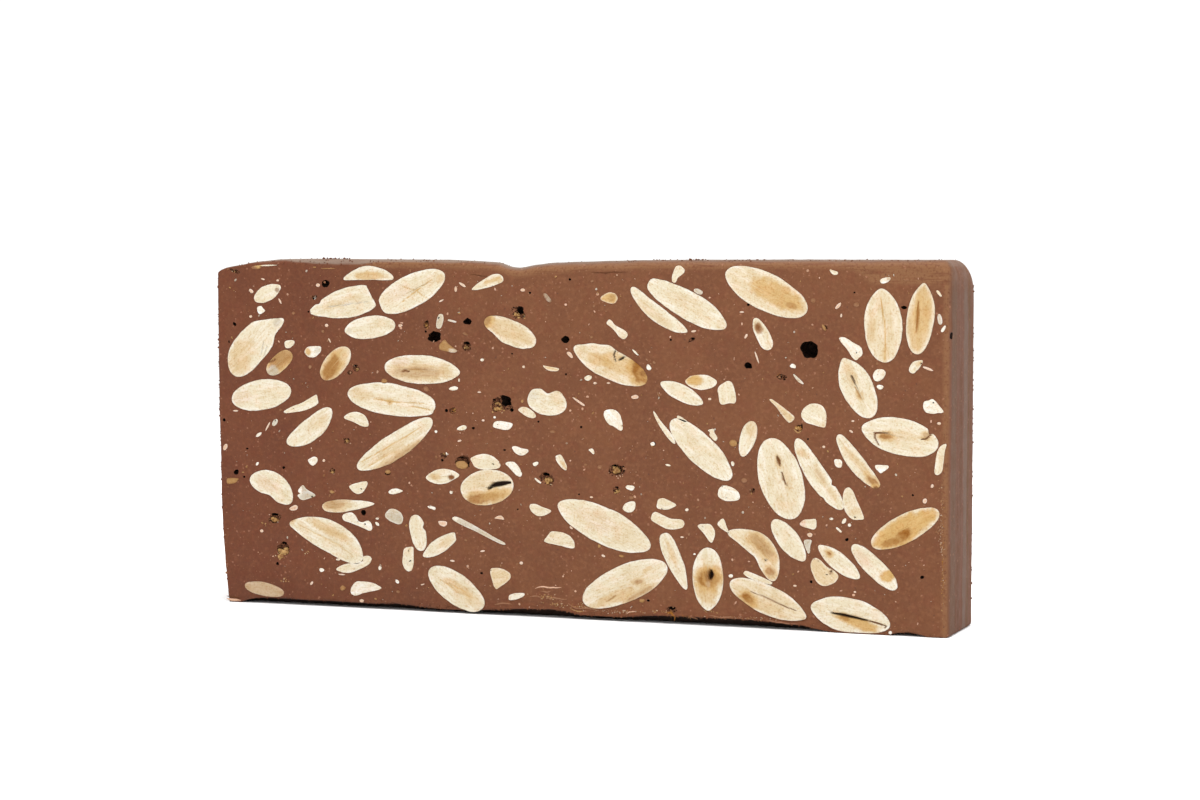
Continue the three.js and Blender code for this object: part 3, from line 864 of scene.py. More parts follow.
# Cracks in the almonds, as (tone, width, depth, points on the way).
CRACKS = {
    1: [("grey", 0.2, 0.1, [(-80.6, 65.4), (-81.4, 62)]),
         ("grey", 0.2, 0.1, [(-79.6, 64.6), (-80.6, 61.8)])],
    3: [("brown", 0.4, 0.3, [(-79.4, 60.3), (-77, 61.2)])],
    5: [("grey", 0.15, 0.1, [(-63, 74.2), (-52, 75.6)])],
    9: [("golden", 0.15, 0.1, [(-50.5, 52), (-45, 51.2), (-37, 51)]),
         ("golden", 0.2, 0.15, [(-41, 50.4), (-35, 49.4)])],
    10: [("golden", 0.18, 0.1, [(-43.5, 79.6), (-39, 78.4), (-35.6, 76.2)]),
         ("golden", 0.15, 0.1, [(-43, 75.4), (-38.6, 78.6), (-35, 81)])],
    11: [("brown", 0.6, 0.3, [(-43, 58.5), (-42.2, 58.9), (-40.8, 58.6)]),
         ("tan", 0.3, 0.1, [(-41, 59.2), (-36, 59.3)])],
    14: [("dark", 0.25, 0.3, [(12.7, 65), (12.3, 63.4), (12.7, 62)]),
         ("dark", 0.6, 0.4, [(13.6, 62.3), (15, 63.1)]),
         ("tan", 0.2, 0.1, [(13, 64.2), (15.6, 64.2), (15.6, 62.6)])],
    20: [("brown", 0.35, 0.4, [(70.4, 59.5), (71.3, 57.4)]),
         ("tan", 0.2, 0.1, [(71.3, 57), (72.6, 54.4)])],
    21: [("golden", 0.25, 0.1, [(77.2, 77.6), (78.4, 70), (78.3, 63.4)])],
    22: [("orange", 0.3, 0.15, [(86, 77), (85.8, 73), (85.6, 69)])],
    23: [("brown", 0.35, 0.3, [(79.5, 46.6), (76, 46.5), (76, 45.4), (77, 43.6)]),
         ("brown", 0.35, 0.3, [(86.9, 45.3), (88, 45.4), (89.3, 46.6)])],
    27: [("warm", 0.25, 0.1, [(-71.5, 20.3), (-60, 15.4), (-56.5, 13)])],
    29: [("golden", 0.15, 0.08, [(-54, 36.2), (-45.8, 40.6), (-38, 45)]),
         ("golden", 0.15, 0.08, [(-52, 35.2), (-45, 39)])],
    30: [("dark", 1.3, 1.2, [(-20.1, 30.7), (-18.6, 31.7), (-16.8, 32), (-14.4, 32.4)])],
    33: [("golden", 0.2, 0.1, [(-31, 7.4), (-27, 5.8), (-25, 4.2)]),
         ("golden", 0.15, 0.1, [(-33, 8.2), (-28, 5)])],
    35: [("tan", 0.3, 0.15, [(10.6, 4.7), (12.8, 6.2)])],
    37: [("dark", 1.3, 1.4, [(36.2, 11.2), (36.5, 12.1), (36.6, 13.2)])],
    39: [("brown", 0.22, 0.2, [(46.4, 8.6), (49, 7.8), (53.4, 6), (57.4, 4.7)])],
    40: [("brown", 0.9, 0.5, [(52.6, 40.5), (53, 39.6), (53.3, 38.3)]),
         ("brown", 0.35, 0.4, [(53.8, 36.8), (54.2, 35.2), (55.1, 33.6)])],
    42: [("dark", 0.5, 0.3, [(75.6, 33.4), (76.6, 33.6)])],
    47: [("dark", 0.6, 0.7, [(66, 4.6), (68, 4.4), (70.6, 3.9), (74.5, 3.3)]),
         ("brown", 0.35, 0.4, [(74.5, 3.3), (78.9, 2.2), (78.6, 1.7)])],
}


def cad_outline(node, face):
    """The outline of a CAD almond where a broad face cuts it."""
    points = np.array([v.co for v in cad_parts[node].data.vertices]) / MM
    cut = points[np.abs(points[:, 1] - face) < 0.01][:, [0, 2]]
    cut = np.unique(np.round(cut, 3), axis=0)
    offset = cut - cut.mean(0)
    middle = np.argmin(np.hypot(*offset.T))
    cut, offset = np.delete(cut, middle, 0), np.delete(offset, middle, 0)
    return cut[np.argsort(np.arctan2(offset[:, 1], offset[:, 0]))]


def smooth_outline(outline):
    """Curves an outline through its points."""
    for _ in range(SMOOTHING):
        before, after, beyond = (np.roll(outline, n, axis=0) for n in (1, -1, -2))
        between = (9 * (outline + after) - before - beyond) / 16
        outline = np.stack((outline, between), 1).reshape(-1, 2)
    return outline


def even_outline(outline, step):
    """The same outline with its points evenly apart."""
    closed = np.vstack([outline, outline[:1]])
    lengths = np.hypot(*np.diff(closed, axis=0).T)
    along = np.concatenate([[0], np.cumsum(lengths)])
    wanted = np.linspace(0, along[-1], max(8, round(along[-1] / step)), endpoint=False)
    return np.stack([np.interp(wanted, along, closed[:, i]) for i in (0, 1)], 1)


def blunted_outline(outline):
    """The same outline with its sharp tips worn round."""
    for _ in range(BLUNTING):
        outline = (np.roll(outline, 1, axis=0) + 2 * outline + np.roll(outline, -1, axis=0)) / 4
    return outline


def normals(outline):
    """The outward normal at each point of an outline."""
    chord = np.roll(outline, -1, axis=0) - np.roll(outline, 1, axis=0)
    chord /= np.maximum(np.hypot(*chord.T), 1e-9)[:, None]
    return np.stack([chord[:, 1], -chord[:, 0]], 1)


def dented_outline(outline, dents, cuts):
    """Pushes an outline in or out at some places, then cuts it straight at others."""
    for x, z, reach, push in dents:
        distance = np.hypot(*(outline - (x, z)).T)
        outline = outline + normals(outline) * (push * (1 - ramp(distance, 0, reach)))[:, None]
    for x, z, direction in cuts:
        away = np.array([math.cos(math.radians(direction)), math.sin(math.radians(direction))])
        over = np.maximum((outline - (x, z)) @ away, 0)
        outline = outline - over[:, None] * away
    return outline


def uneven_outline(outline, amount, seed):
    """A little out of true, as no almond is a perfect oval."""
    flat = np.insert(outline, 1, 0, axis=1)
    shift = noise(flat, 3.5, seed) + 0.4 * noise(flat, 1.1, seed + 1)
    return outline + normals(outline) * (amount * shift)[:, None]


def grain_axis(outline):
    """The middle of an outline, the directions of its length and width, and half its sizes."""
    middle = outline.mean(0)
    _, _, axes = np.linalg.svd(outline - middle, full_matrices=False)
    direction = axes[0] * (1 if axes[0, 0] >= 0 else -1)
    across = np.array([-direction[1], direction[0]])
    half_length = np.abs((outline - middle) @ direction).max()
    half_width = np.abs((outline - middle) @ across).max()
    return middle, direction, across, half_length, half_width


def plug(outline, face, depth, step):
    """A closed solid sunk in a broad face: a flat cap, a rounded rim and a bowl below.

    Gives its points, its faces and how far each point is in from the rim."""
    middle, direction, _, half_length, half_width = grain_axis(outline)
    reach = 0.9 * (half_length - half_width)
    spine = middle + np.clip((outline - middle) @ direction, -reach, reach)[:, None] * direction
    spokes = outline - spine
    width = np.hypot(*spokes.T)
    rings = max(2, round(half_width / step))
    shares = [*np.linspace(0.02, 1 - min(RIM / half_width, 0.3), rings), 1]
    layers = [(spine + spokes * s, -PROUD if s < 1 else RIM) for s in shares]
    rim = [width * (1 - s) for s in shares]
    for deep, size in BOWL:
        layers.append((middle + (outline - middle) * size, depth * deep))
        rim.append(0 * width)
    return *sunk_solid(layers, face), np.concatenate(rim)


def in_oval(points, x, z, length, width, turn):
    """1 in the middle of an oval, fading to 0 past its broken edge."""
    angle = math.radians(turn)
    offset = points[:, [0, 2]] - (x, z)
    u = offset @ (math.cos(angle), math.sin(angle)) / (length / 2)
    v = offset @ (-math.sin(angle), math.cos(angle)) / (width / 2)
    grit = 0.22 * noise(points, 1.3, 41) + 0.12 * noise(points, 0.5, 42)
    return 1 - ramp(np.hypot(u, v) + grit, 0.6, 1.1)


def on_line(points, way, width):
    """1 on a line through the points of the way, which is thin at both ends."""
    way = np.array(way, float)
    spot = points[:, [0, 2]]
    lengths = np.hypot(*np.diff(way, axis=0).T)
    starts = np.concatenate([[0], np.cumsum(lengths)]) / lengths.sum()
    best = np.zeros(len(points))
    for i, length in enumerate(lengths):
        direction = (way[i + 1] - way[i]) / length
        along = np.clip((spot - way[i]) @ direction, 0, length)
        distance = np.hypot(*(spot - way[i] - along[:, None] * direction).T)
        share = starts[i] + along / length * (starts[i + 1] - starts[i])
        half = width / 2 * (1 - 0.75 * np.abs(2 * share - 1) ** 2)
        best = np.maximum(best, 1 - ramp(distance, 0.6 * half, half + 0.12))
    return best


def almond_tint(points, rim, tone, seed):
    """Cream flesh, paler at the rim and warmer in the middle."""
    warmth = 0.5 + 0.5 * noise(points, 5, seed)
    base = mix(TONES["cream"], TONES["warm"], 0.5 * warmth * ramp(rim, 0.5, 2.5))
    if tone == "warm":
        base = mix(base, TONES["warm"], 0.5)
    base = mix(base, TONES["pale"], 0.6 * (1 - ramp(rim, 0.1, 0.7)))
    base = mix(base, TONES["tan"], 0.1 * (1 - ramp(rim, 0.0, 0.25)))
    if tone in TOASTED:
        inner = ramp(rim + 0.5 * noise(points, 3, seed + 3), 0.2, 1.4)
        base = mix(base, TONES["golden"], TOASTED[tone] * (0.27 + 0.73 * inner))
    if tone == "veiled":
        base = mix(base, TONES["tan"], 0.7)
    return base


def grain_of(points, outline, seed):
    """Where each point lies along and across the grain, and a number for the piece."""
    middle, direction, across, _, _ = grain_axis(outline)
    flat = points[:, [0, 2]] - middle
    return np.stack([flat @ direction, flat @ across, np.full(len(flat), seed % 100)], 1)


def front_rows(table, node):
    """The rows of a table for an almond, none for one in the back face."""
    return table.get(int(node[-2:]), []) if "front" in node else []


def make_almond(node, section, material):
    outline, face, depth = section
    seed = SEEDS[node]
    tone = ALMOND_TONES.get(node, "cream")
    points, faces, rim = plug(outline, face, depth, 0.3)
    tint = almond_tint(points, rim, tone, seed)
    for stain, x, z, length, width, turn, strength in front_rows(STAINS, node):
        if stain in ROASTED:
            halo = in_oval(points, x, z, 1.4 * length + 1, 1.4 * width + 1, turn)
            tint = mix(tint, TONES["golden"], 0.9 * strength * halo)
        tint = mix(tint, TONES[stain], strength * in_oval(points, x, z, length, width, turn))
    for stain, width, depth, way in front_rows(CRACKS, node):
        crack = on_line(points, way, width) * (rim > 0)
        tint = mix(tint, TONES[stain], crack)
        points[:, 1] -= np.sign(face) * depth * crack
    piece = make_object(node.replace("almond", "section"), points, faces, material)
    set_colours(piece, "tint", tint)
    set_colours(piece, "grain", grain_of(points, outline, seed))
    shade_smooth(piece, 50)
    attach(piece, "root")
    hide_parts(node)


def section_outline(node):
    """The almond's outline in its broad face, the face, and the depth of the almond."""
    low, high = (np.array(corner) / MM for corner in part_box(node))
    face = FRONT if low[1] < 0 else BACK
    outline = blunted_outline(even_outline(smooth_outline(cad_outline(node, face)), 0.35))
    outline = dented_outline(outline, front_rows(DENTS, node), front_rows(CUTS, node))
    return uneven_outline(outline, 0.13, SEEDS[node]), face, high[1] - low[1]


def add_bed(heap, outline, face, depth):
    """The hollow that an almond section lies in, a hair wider than the section."""
    loop = even_outline(outline, BED_STEP)
    loop = loop + normals(loop) * BED_GAP
    middle = loop.mean(0)
    layers = [(loop, -1), (loop, 2 * RIM)]
    layers += [(middle + (loop - middle) * size, depth * deep + BED_GAP) for deep, size in BOWL]
    heap.add(*sunk_solid(layers, face))


# ---------------------------------------------------------------- bubbles and torn places

# Bubbles in the front face, as (x, z, width, height).
BUBBLES = [
    (-63.4, 80.1, 1.9, 1.9), (-88.7, 69.8, 1.1, 1.1), (-90.3, 65.3, 0.4, 0.8), (-91.8, 45.8, 0.8, 0.8),
    (-88.5, 32.8, 1.4, 1.3), (-86.3, 31.6, 0.6, 0.6), (-85.4, 38.7, 0.7, 0.5), (-75.3, 34.2, 0.8, 0.8),
    (-53.4, 23.7, 1.4, 1.4), (-77.2, 10.2, 0.9, 0.9), (-34.4, 67.3, 3.5, 2.6), (-36.5, 68.5, 0.7, 0.6),
    (-25.4, 71.1, 1.9, 1.6), (-9.2, 78, 0.8, 0.6), (-13.8, 63.4, 0.5, 0.5), (-31, 49.4, 0.9, 0.9),
    (-24, 45.3, 0.8, 0.7), (-7, 47.2, 0.6, 0.5), (-0.1, 67, 2, 1.7), (45.7, 61.4, 1.8, 1.5),
    (45.5, 75.6, 0.7, 0.7), (26.5, 67.2, 0.6, 0.5), (1.1, 81.3, 0.7, 0.6), (0.1, 58.7, 0.5, 0.5),
    (4, 46.2, 0.6, 0.6), (60.3, 65.3, 4.1, 4), (82.7, 75.3, 1.4, 0.8),
    (60.1, 44.7, 0.5, 0.5), (-15.8, 40.2, 0.9, 0.5), (-21.9, 10.1, 0.7, 0.6), (20.9, 5.4, 0.8, 0.7),
    (69.5, 21.7, 0.9, 0.8), (61, 11.6, 0.7, 0.7), (87.3, 13.8, 1, 0.8), (43, 43.4, 0.6, 0.6),
    (-80.7, 66.9, 0.5, 0.5), (52, 22, 0.5, 0.5), (34.5, 41, 0.5, 0.4), (-12.4, 26, 0.5, 0.4),
    (71, 78.6, 0.5, 0.4), (85, 32.5, 0.5, 0.5), (-68.2, 73, 0.5, 0.5), (3.4, 30.1, 0.5, 0.4),
]
ARRIS_BUBBLE = (93.4, -10.6, 69)  # the middle of one in the right arris

# Torn places with a crumbly inside, as (x, z, length, width, turn).
TEARS = [
    (-16.7, 51.2, 6.2, 4, 10), (-12, 73.3, 3.4, 3, -30), (-25.7, 65, 2.2, 2.4, 0),
    (-36.3, 70.3, 2.2, 1.6, 60), (-55.2, 59.3, 1.8, 1.6, 0), (-57, 58.2, 1.4, 1.2, 0),
    (-88.7, 83, 2.8, 1, -20), (-29.3, 49.5, 2, 1.5, 0), (-78, 21.3, 3.6, 2.4, 20),
    (-75.5, 13.8, 3.8, 3.6, 0), (-61.8, 33.7, 1.6, 1.4, 0), (-57.9, 41.4, 2.2, 1.6, 0),
    (-27, 36.8, 4, 3, 0), (-31.9, 38.4, 1.8, 1.4, 0), (-4.8, 33.6, 3.6, 3, 0),
    (13, 36.2, 4.2, 3.4, -15), (13, 31.3, 2, 1.8, 0), (26.9, 3.6, 2.4, 1.4, 0),
    (58, 47.2, 1.6, 1.9, 0), (53.7, 59, 2.4, 1.4, 0),
    (46.7, 32.3, 1.3, 1.1, 0), (15.4, 7.3, 1.6, 0.8, -20), (22.2, 42.5, 1.4, 1.2, 0),
    (64.3, 70.6, 1.2, 0.7, -60), (-46.8, 33.8, 1.5, 1.2, 0), (-66.6, 76.5, 1.6, 1.1, 20),
    (31.7, 67.4, 1.9, 0.9, 40),
]

# Pits inside the torn places, near black with painted shade, as (x, z, width, height).
PITS = [
    (-15.4, 51.9, 3.6, 3), (-13.9, 49.9, 1.2, 0.9), (-11.9, 73.8, 1.9, 1.9), (-25.7, 65.8, 1.6, 0.9),
    (-55.6, 59.9, 0.6, 0.5), (-78, 22.4, 1.7, 0.8), (-75.3, 15.3, 1.7, 1.1), (-27.2, 37.9, 2.2, 0.5),
    (-25.3, 36.6, 0.5, 1.4), (-32.2, 37.3, 0.7, 0.6), (-5.3, 34.6, 2.2, 0.8), (12.3, 37.1, 1.1, 0.8),
    (14.5, 36.5, 0.8, 1.6), (13, 32, 0.8, 0.5), (26.8, 3.8, 1.5, 0.9), (58.6, 47.6, 0.5, 1.4),
    (54.3, 58.4, 0.7, 0.5), (-57.6, 41.7, 0.7, 0.6), (-61.6, 34, 0.5, 0.5), (-36.4, 70.8, 0.7, 0.6),
    (-18.6, 52.2, 0.8, 0.7), (47, 32.6, 0.6, 0.5), (22.4, 42.9, 0.5, 0.4), (-66.8, 76.3, 0.8, 0.5),
    (-66.2, 76.8, 0.4, 0.5), (31.9, 67.6, 0.8, 0.4),
]


def add_hollow(heap, face, x, z, length, width, turn, depth, seed):
    """A rough hollow in a broad face."""
    sizes = (length, 2 * depth, width)
    fineness = 2 if length > 1 else 1
    heap.add(*lumpy_ball((x, face, z), sizes, turn, 0.3, seed, fineness))


def scattered(count, seed, margin):
    """Seeded places all over a broad face."""
    draw = np.random.default_rng(seed)
    x = draw.uniform(LEFT + margin, RIGHT - margin, count)
    z = draw.uniform(margin, HEIGHT - margin, count)
    return np.stack([x, z], 1), draw


def clear_of(places, outlines, gap):
    """Which of the places lie outside every outline by the gap."""
    clear = np.ones(len(places), bool)
    for outline in outlines:
        grown = outline + normals(outline) * gap
        after = np.roll(grown, -1, axis=0)
        x, z = places[:, 0, None], places[:, 1, None]
        spans = (grown[:, 1] > z) != (after[:, 1] > z)
        rise = np.where(after[:, 1] == grown[:, 1], 1, after[:, 1] - grown[:, 1])
        crossing = grown[:, 0] + (z - grown[:, 1]) / rise * (after[:, 0] - grown[:, 0])
        clear &= (spans & (x < crossing)).sum(1) % 2 == 0
    return clear


def outlines_on(sections, face):
    """The outlines of the almonds in one broad face."""
    return [outline for outline, at, _ in sections.values() if at == face]


def cut_hollows(body, sections):
    """Cuts the almonds' beds, the torn places, their pits and the bubbles."""
    torn_grains, wall_grains = (0.35, 0.42, 0.62), (0.4, 0.4, 0.7)
    crumbly = hollow_material("crumbly", torn_grains, (CRUMBLY_DARK, CRUMBLY_LIGHT), 4, 0.25, 0.8)
    # The bubbles and pits get near-black walls, which are painted shade in deep holes.
    dark = hollow_material("bubble_painted_shade", wall_grains, (HOLE_PAINTED_SHADE, HOLE_GRAIN), 3, 0.1, 0.7)
    beds, tears, bubbles, pits = Heap(), Heap(), Heap(), Heap()
    for outline, face, depth in sections.values():
        add_bed(beds, outline, face, depth)
    for number, (x, z, length, width, turn) in enumerate(TEARS):
        add_hollow(tears, FRONT, x, z, length, width, turn, 0.35 * width + 0.2, TEAR_SEED + number)
    for number, (x, z, width, height) in enumerate(BUBBLES):
        add_hollow(bubbles, FRONT, x, z, width, height, 0, 0.9 * width + 0.3, BUBBLE_SEED + number)
    for number, (x, z, width, height) in enumerate(PITS):
        add_hollow(pits, FRONT, x, z, width, height, 0, 0.7 * width + 1, PIT_SEED + number)
    x, y, z = ARRIS_BUBBLE
    add_hollow(bubbles, y, x, z, 0.9, 1.9, 0, 0.9, ARRIS_SEED)
    places, draw = scattered(BACK_HOLLOWS, 61, BACK_MARGIN)
    places = places[clear_of(places, outlines_on(sections, BACK), 2)]
    for number, (x, z) in enumerate(places):
        size = 0.5 + 2.2 * draw.random() ** 3
        torn = number % 3 == 0
        length = 1.6 * size if torn else size
        heap = tears if torn else bubbles
        add_hollow(heap, BACK, x, z, length, size, 0, 0.6 * size, BACK_HOLLOW_SEED + number)
    cut_from(body, beds.make("beds", None))
    cut_from(body, tears.make("tears", crumbly))
    cut_from(body, bubbles.make("bubbles", dark))
    cut_from(body, pits.make("pits", dark))


# ---------------------------------------------------------------- chips and crumbs

# Small plain bits of almond in the front face, and one painted highlight along the top edge, as (tone,
# form, x, z, length, width, turn).
CHIPS = [
    ("pink", "leaf", -76, 75.6, 1.7, 0.5, -60), ("pink", "oval", -84.2, 71.7, 0.9, 0.7, 0),
    # The cream leaf at (-79.6, 84.4) is not a bit of almond but a painted highlight along the top edge.
    ("cream", "leaf", -79.6, 84.4, 6.4, 0.35, 2), ("grey", "oval", -77.6, 45.4, 2.2, 1.3, 50),
    ("pink", "leaf", -79.6, 44.4, 2.8, 0.5, 60), ("pink", "leaf", -88.6, 48.1, 1.6, 0.4, 0),
    ("tan", "leaf", -62.7, 83.7, 4.4, 0.35, 0),
    ("pink", "oval", -65.5, 79.6, 1.1, 0.8, 0), ("pink", "oval", -63.2, 69.7, 1, 0.8, 0),
    ("pink", "leaf", -62.4, 66, 1.4, 0.4, -60), ("tan", "oval", -66.4, 84, 1, 0.5, 0),
    ("tan", "shard", -47.6, 56.2, 2, 1.4, 0), ("grey", "stick", -29.5, 71.1, 2.4, 0.5, -12),
    ("pink", "leaf", -26.8, 79.9, 2.2, 0.6, -30), ("pink", "oval", -28.5, 78.8, 1.4, 0.7, 90),
    ("pink", "leaf", -32.3, 76, 1.5, 0.4, 25), ("pale", "oval", -21.6, 61.8, 1, 0.7, 0),
    ("pink", "oval", -11, 78.7, 1.2, 0.7, 0), ("veiled", "shard", -26, 68, 1.6, 0.7, -20),
    ("pink", "leaf", -22.4, 54, 1.1, 0.4, 0), ("veiled", "oval", -3.3, 44.9, 1.7, 0.8, 0),
    ("pale", "shard", -33.8, 44.2, 0.9, 0.8, 0), ("tan", "oval", 42, 43.3, 2.2, 1.8, 0),
    ("pink", "leaf", 32.2, 69.3, 1.4, 0.5, 10), ("pale", "shard", 22, 42.6, 1.3, 1.1, 0),
    ("pink", "oval", 7.5, 56.7, 0.9, 0.6, 0), ("veiled", "leaf", 23.5, 54.3, 1.6, 0.6, -60),
    ("pink", "leaf", 88.3, 61.4, 2.8, 0.6, -20), ("tan", "leaf", 63.8, 70.5, 1.8, 0.7, -60),
    ("grey", "oval", 91, 72.7, 2.6, 1.2, -80), ("pink", "leaf", 47.7, 63.4, 3.2, 0.4, -70),
    ("pink", "shard", 70.4, 46.7, 1.1, 0.6, -30), ("pale", "leaf", -82.1, 42.3, 2, 0.8, 32),
    ("pink", "oval", -91.6, 38.9, 1.8, 1.1, 60), ("pale", "oval", -82.6, 35, 1.1, 0.7, 50),
    ("pink", "oval", -67.7, 5.7, 1.1, 0.7, 50), ("pale", "shard", -49, 10.3, 1.2, 1, 60),
    ("tan", "block", -62, 28.6, 1.8, 1.2, 0), ("tan", "block", -59, 4.9, 2, 1.6, 0),
    ("pink", "oval", -81.5, 18.2, 1, 0.8, 0), ("pink", "shard", -64.2, 36.3, 0.9, 0.7, 0),
    ("pale", "leaf", -49.7, 22.4, 0.9, 0.5, 0), ("pale", "leaf", -49.7, 21.1, 1.4, 0.7, -40),
    ("pale", "shard", -44.3, 7.1, 1.3, 0.9, -40), ("pale", "shard", -29.9, 29.5, 1, 0.9, 0),
    ("pink", "oval", -27.6, 42.1, 1.1, 0.5, 15), ("pink", "leaf", -29.6, 12.8, 1.4, 0.5, -5),
    ("pink", "oval", -11.5, 13, 1, 0.8, 0), ("pink", "shard", -37.5, 6.7, 1.3, 0.4, 20),
    ("tan", "shard", -46.8, 34, 1.8, 1.2, 0), ("cream", "leaf", 25.9, 37.7, 1.5, 0.6, -10),
    ("veiled", "oval", 44.7, 34.7, 1.6, 1.3, 0), ("pink", "oval", 6.6, 29.5, 0.9, 0.5, 0),
    ("cream", "shard", 30.6, 27.3, 0.9, 0.8, 0), ("veiled", "oval", 16.7, 29.7, 1.4, 0.9, 0),
    ("tan", "shard", 14.2, 15.7, 1.5, 0.7, -10), ("pink", "shard", 9.6, 15.6, 1.2, 0.6, -20),
    ("pale", "oval", 32.5, 16.9, 0.6, 0.5, 0), ("tan", "shard", 19.4, 5.3, 1.7, 1, 0),
    ("pink", "shard", 60.6, 22.5, 1.5, 1.2, 0), ("pale", "oval", 70.1, 25.1, 0.8, 0.8, 0),
    ("pale", "stick", 67.6, 23.9, 1.7, 0.5, -40), ("pale", "oval", 65.8, 26.4, 1, 0.6, 0),
    ("pink", "shard", 87.8, 31.3, 1.3, 1.1, 70), ("pink", "shard", 89.5, 34.7, 0.9, 0.7, 70),
    ("pale", "oval", 79.9, 0.7, 0.9, 0.8, 0), ("pink", "oval", -54, 1.9, 1.3, 0.8, 0),
    ("pink", "leaf", -21.6, 15.5, 1.4, 0.5, 10), ("veiled", "oval", -72.3, 72.6, 0.9, 0.8, 0),
    ("veiled", "oval", -64.2, 68.2, 0.9, 0.8, 0), ("pink", "oval", -80.7, 81, 1.1, 0.4, -15),
    ("pink", "oval", -76.6, 80.7, 0.8, 0.6, 0), ("pale", "oval", -27.7, 56.8, 0.4, 0.8, 0),
    ("pale", "oval", -18.4, 48, 0.7, 0.6, 0), ("veiled", "oval", -36.4, 54.5, 1.6, 1.2, -30),
    ("pink", "oval", -10.8, 60.3, 0.7, 0.6, 0), ("pink", "oval", -21.4, 47.2, 0.8, 0.5, 0),
    ("pink", "oval", 10.9, 56.8, 0.9, 0.4, 0), ("veiled", "oval", 6.6, 67.6, 0.9, 0.7, 0),
    ("pink", "oval", 36.2, 53.5, 0.9, 0.6, 0), ("pink", "leaf", 44, 73.9, 1.2, 0.4, 0),
    ("veiled", "oval", 7.2, 75, 0.7, 0.7, 0), ("veiled", "oval", 83.2, 81.6, 1.7, 0.6, 0),
    ("pink", "oval", 67.9, 73.3, 0.9, 0.5, 80), ("veiled", "oval", 71.5, 75.8, 1.5, 1.2, 0),
    ("veiled", "oval", 61.2, 76.7, 1.3, 1.1, 0), ("pink", "oval", 70.8, 49.1, 0.8, 0.5, 0),
    ("pink", "oval", 91, 49, 0.9, 0.6, 0), ("pink", "oval", 63.9, 43, 0.7, 0.6, 0),
    ("pale", "shard", -60.4, 11.9, 1.3, 0.6, 0), ("pink", "leaf", -59.4, 8.2, 2, 0.4, 0),
    ("veiled", "shard", -44.2, 4.6, 1.2, 0.8, 0), ("veiled", "oval", -19, 26, 1, 0.6, 60),
    ("veiled", "oval", -26, 18, 0.9, 0.7, 0), ("veiled", "leaf", 33.2, 28, 1.2, 0.5, 35),
    ("pink", "oval", 1.4, 22, 0.9, 0.5, -40), ("pink", "oval", 29.4, 20.8, 0.9, 0.4, 0),
    ("veiled", "oval", 8.7, 36.7, 1.2, 1, 0), ("veiled", "oval", 5.1, 37.2, 0.9, 0.6, 0),
    ("pink", "oval", 57.1, 10.5, 0.9, 0.5, 0), ("pink", "oval", 71.5, 9.7, 0.7, 0.5, 0),
    ("veiled", "oval", 76.9, 32.3, 0.7, 0.6, 0), ("veiled", "oval", -82.6, 83.9, 2.8, 0.9, 0),
]

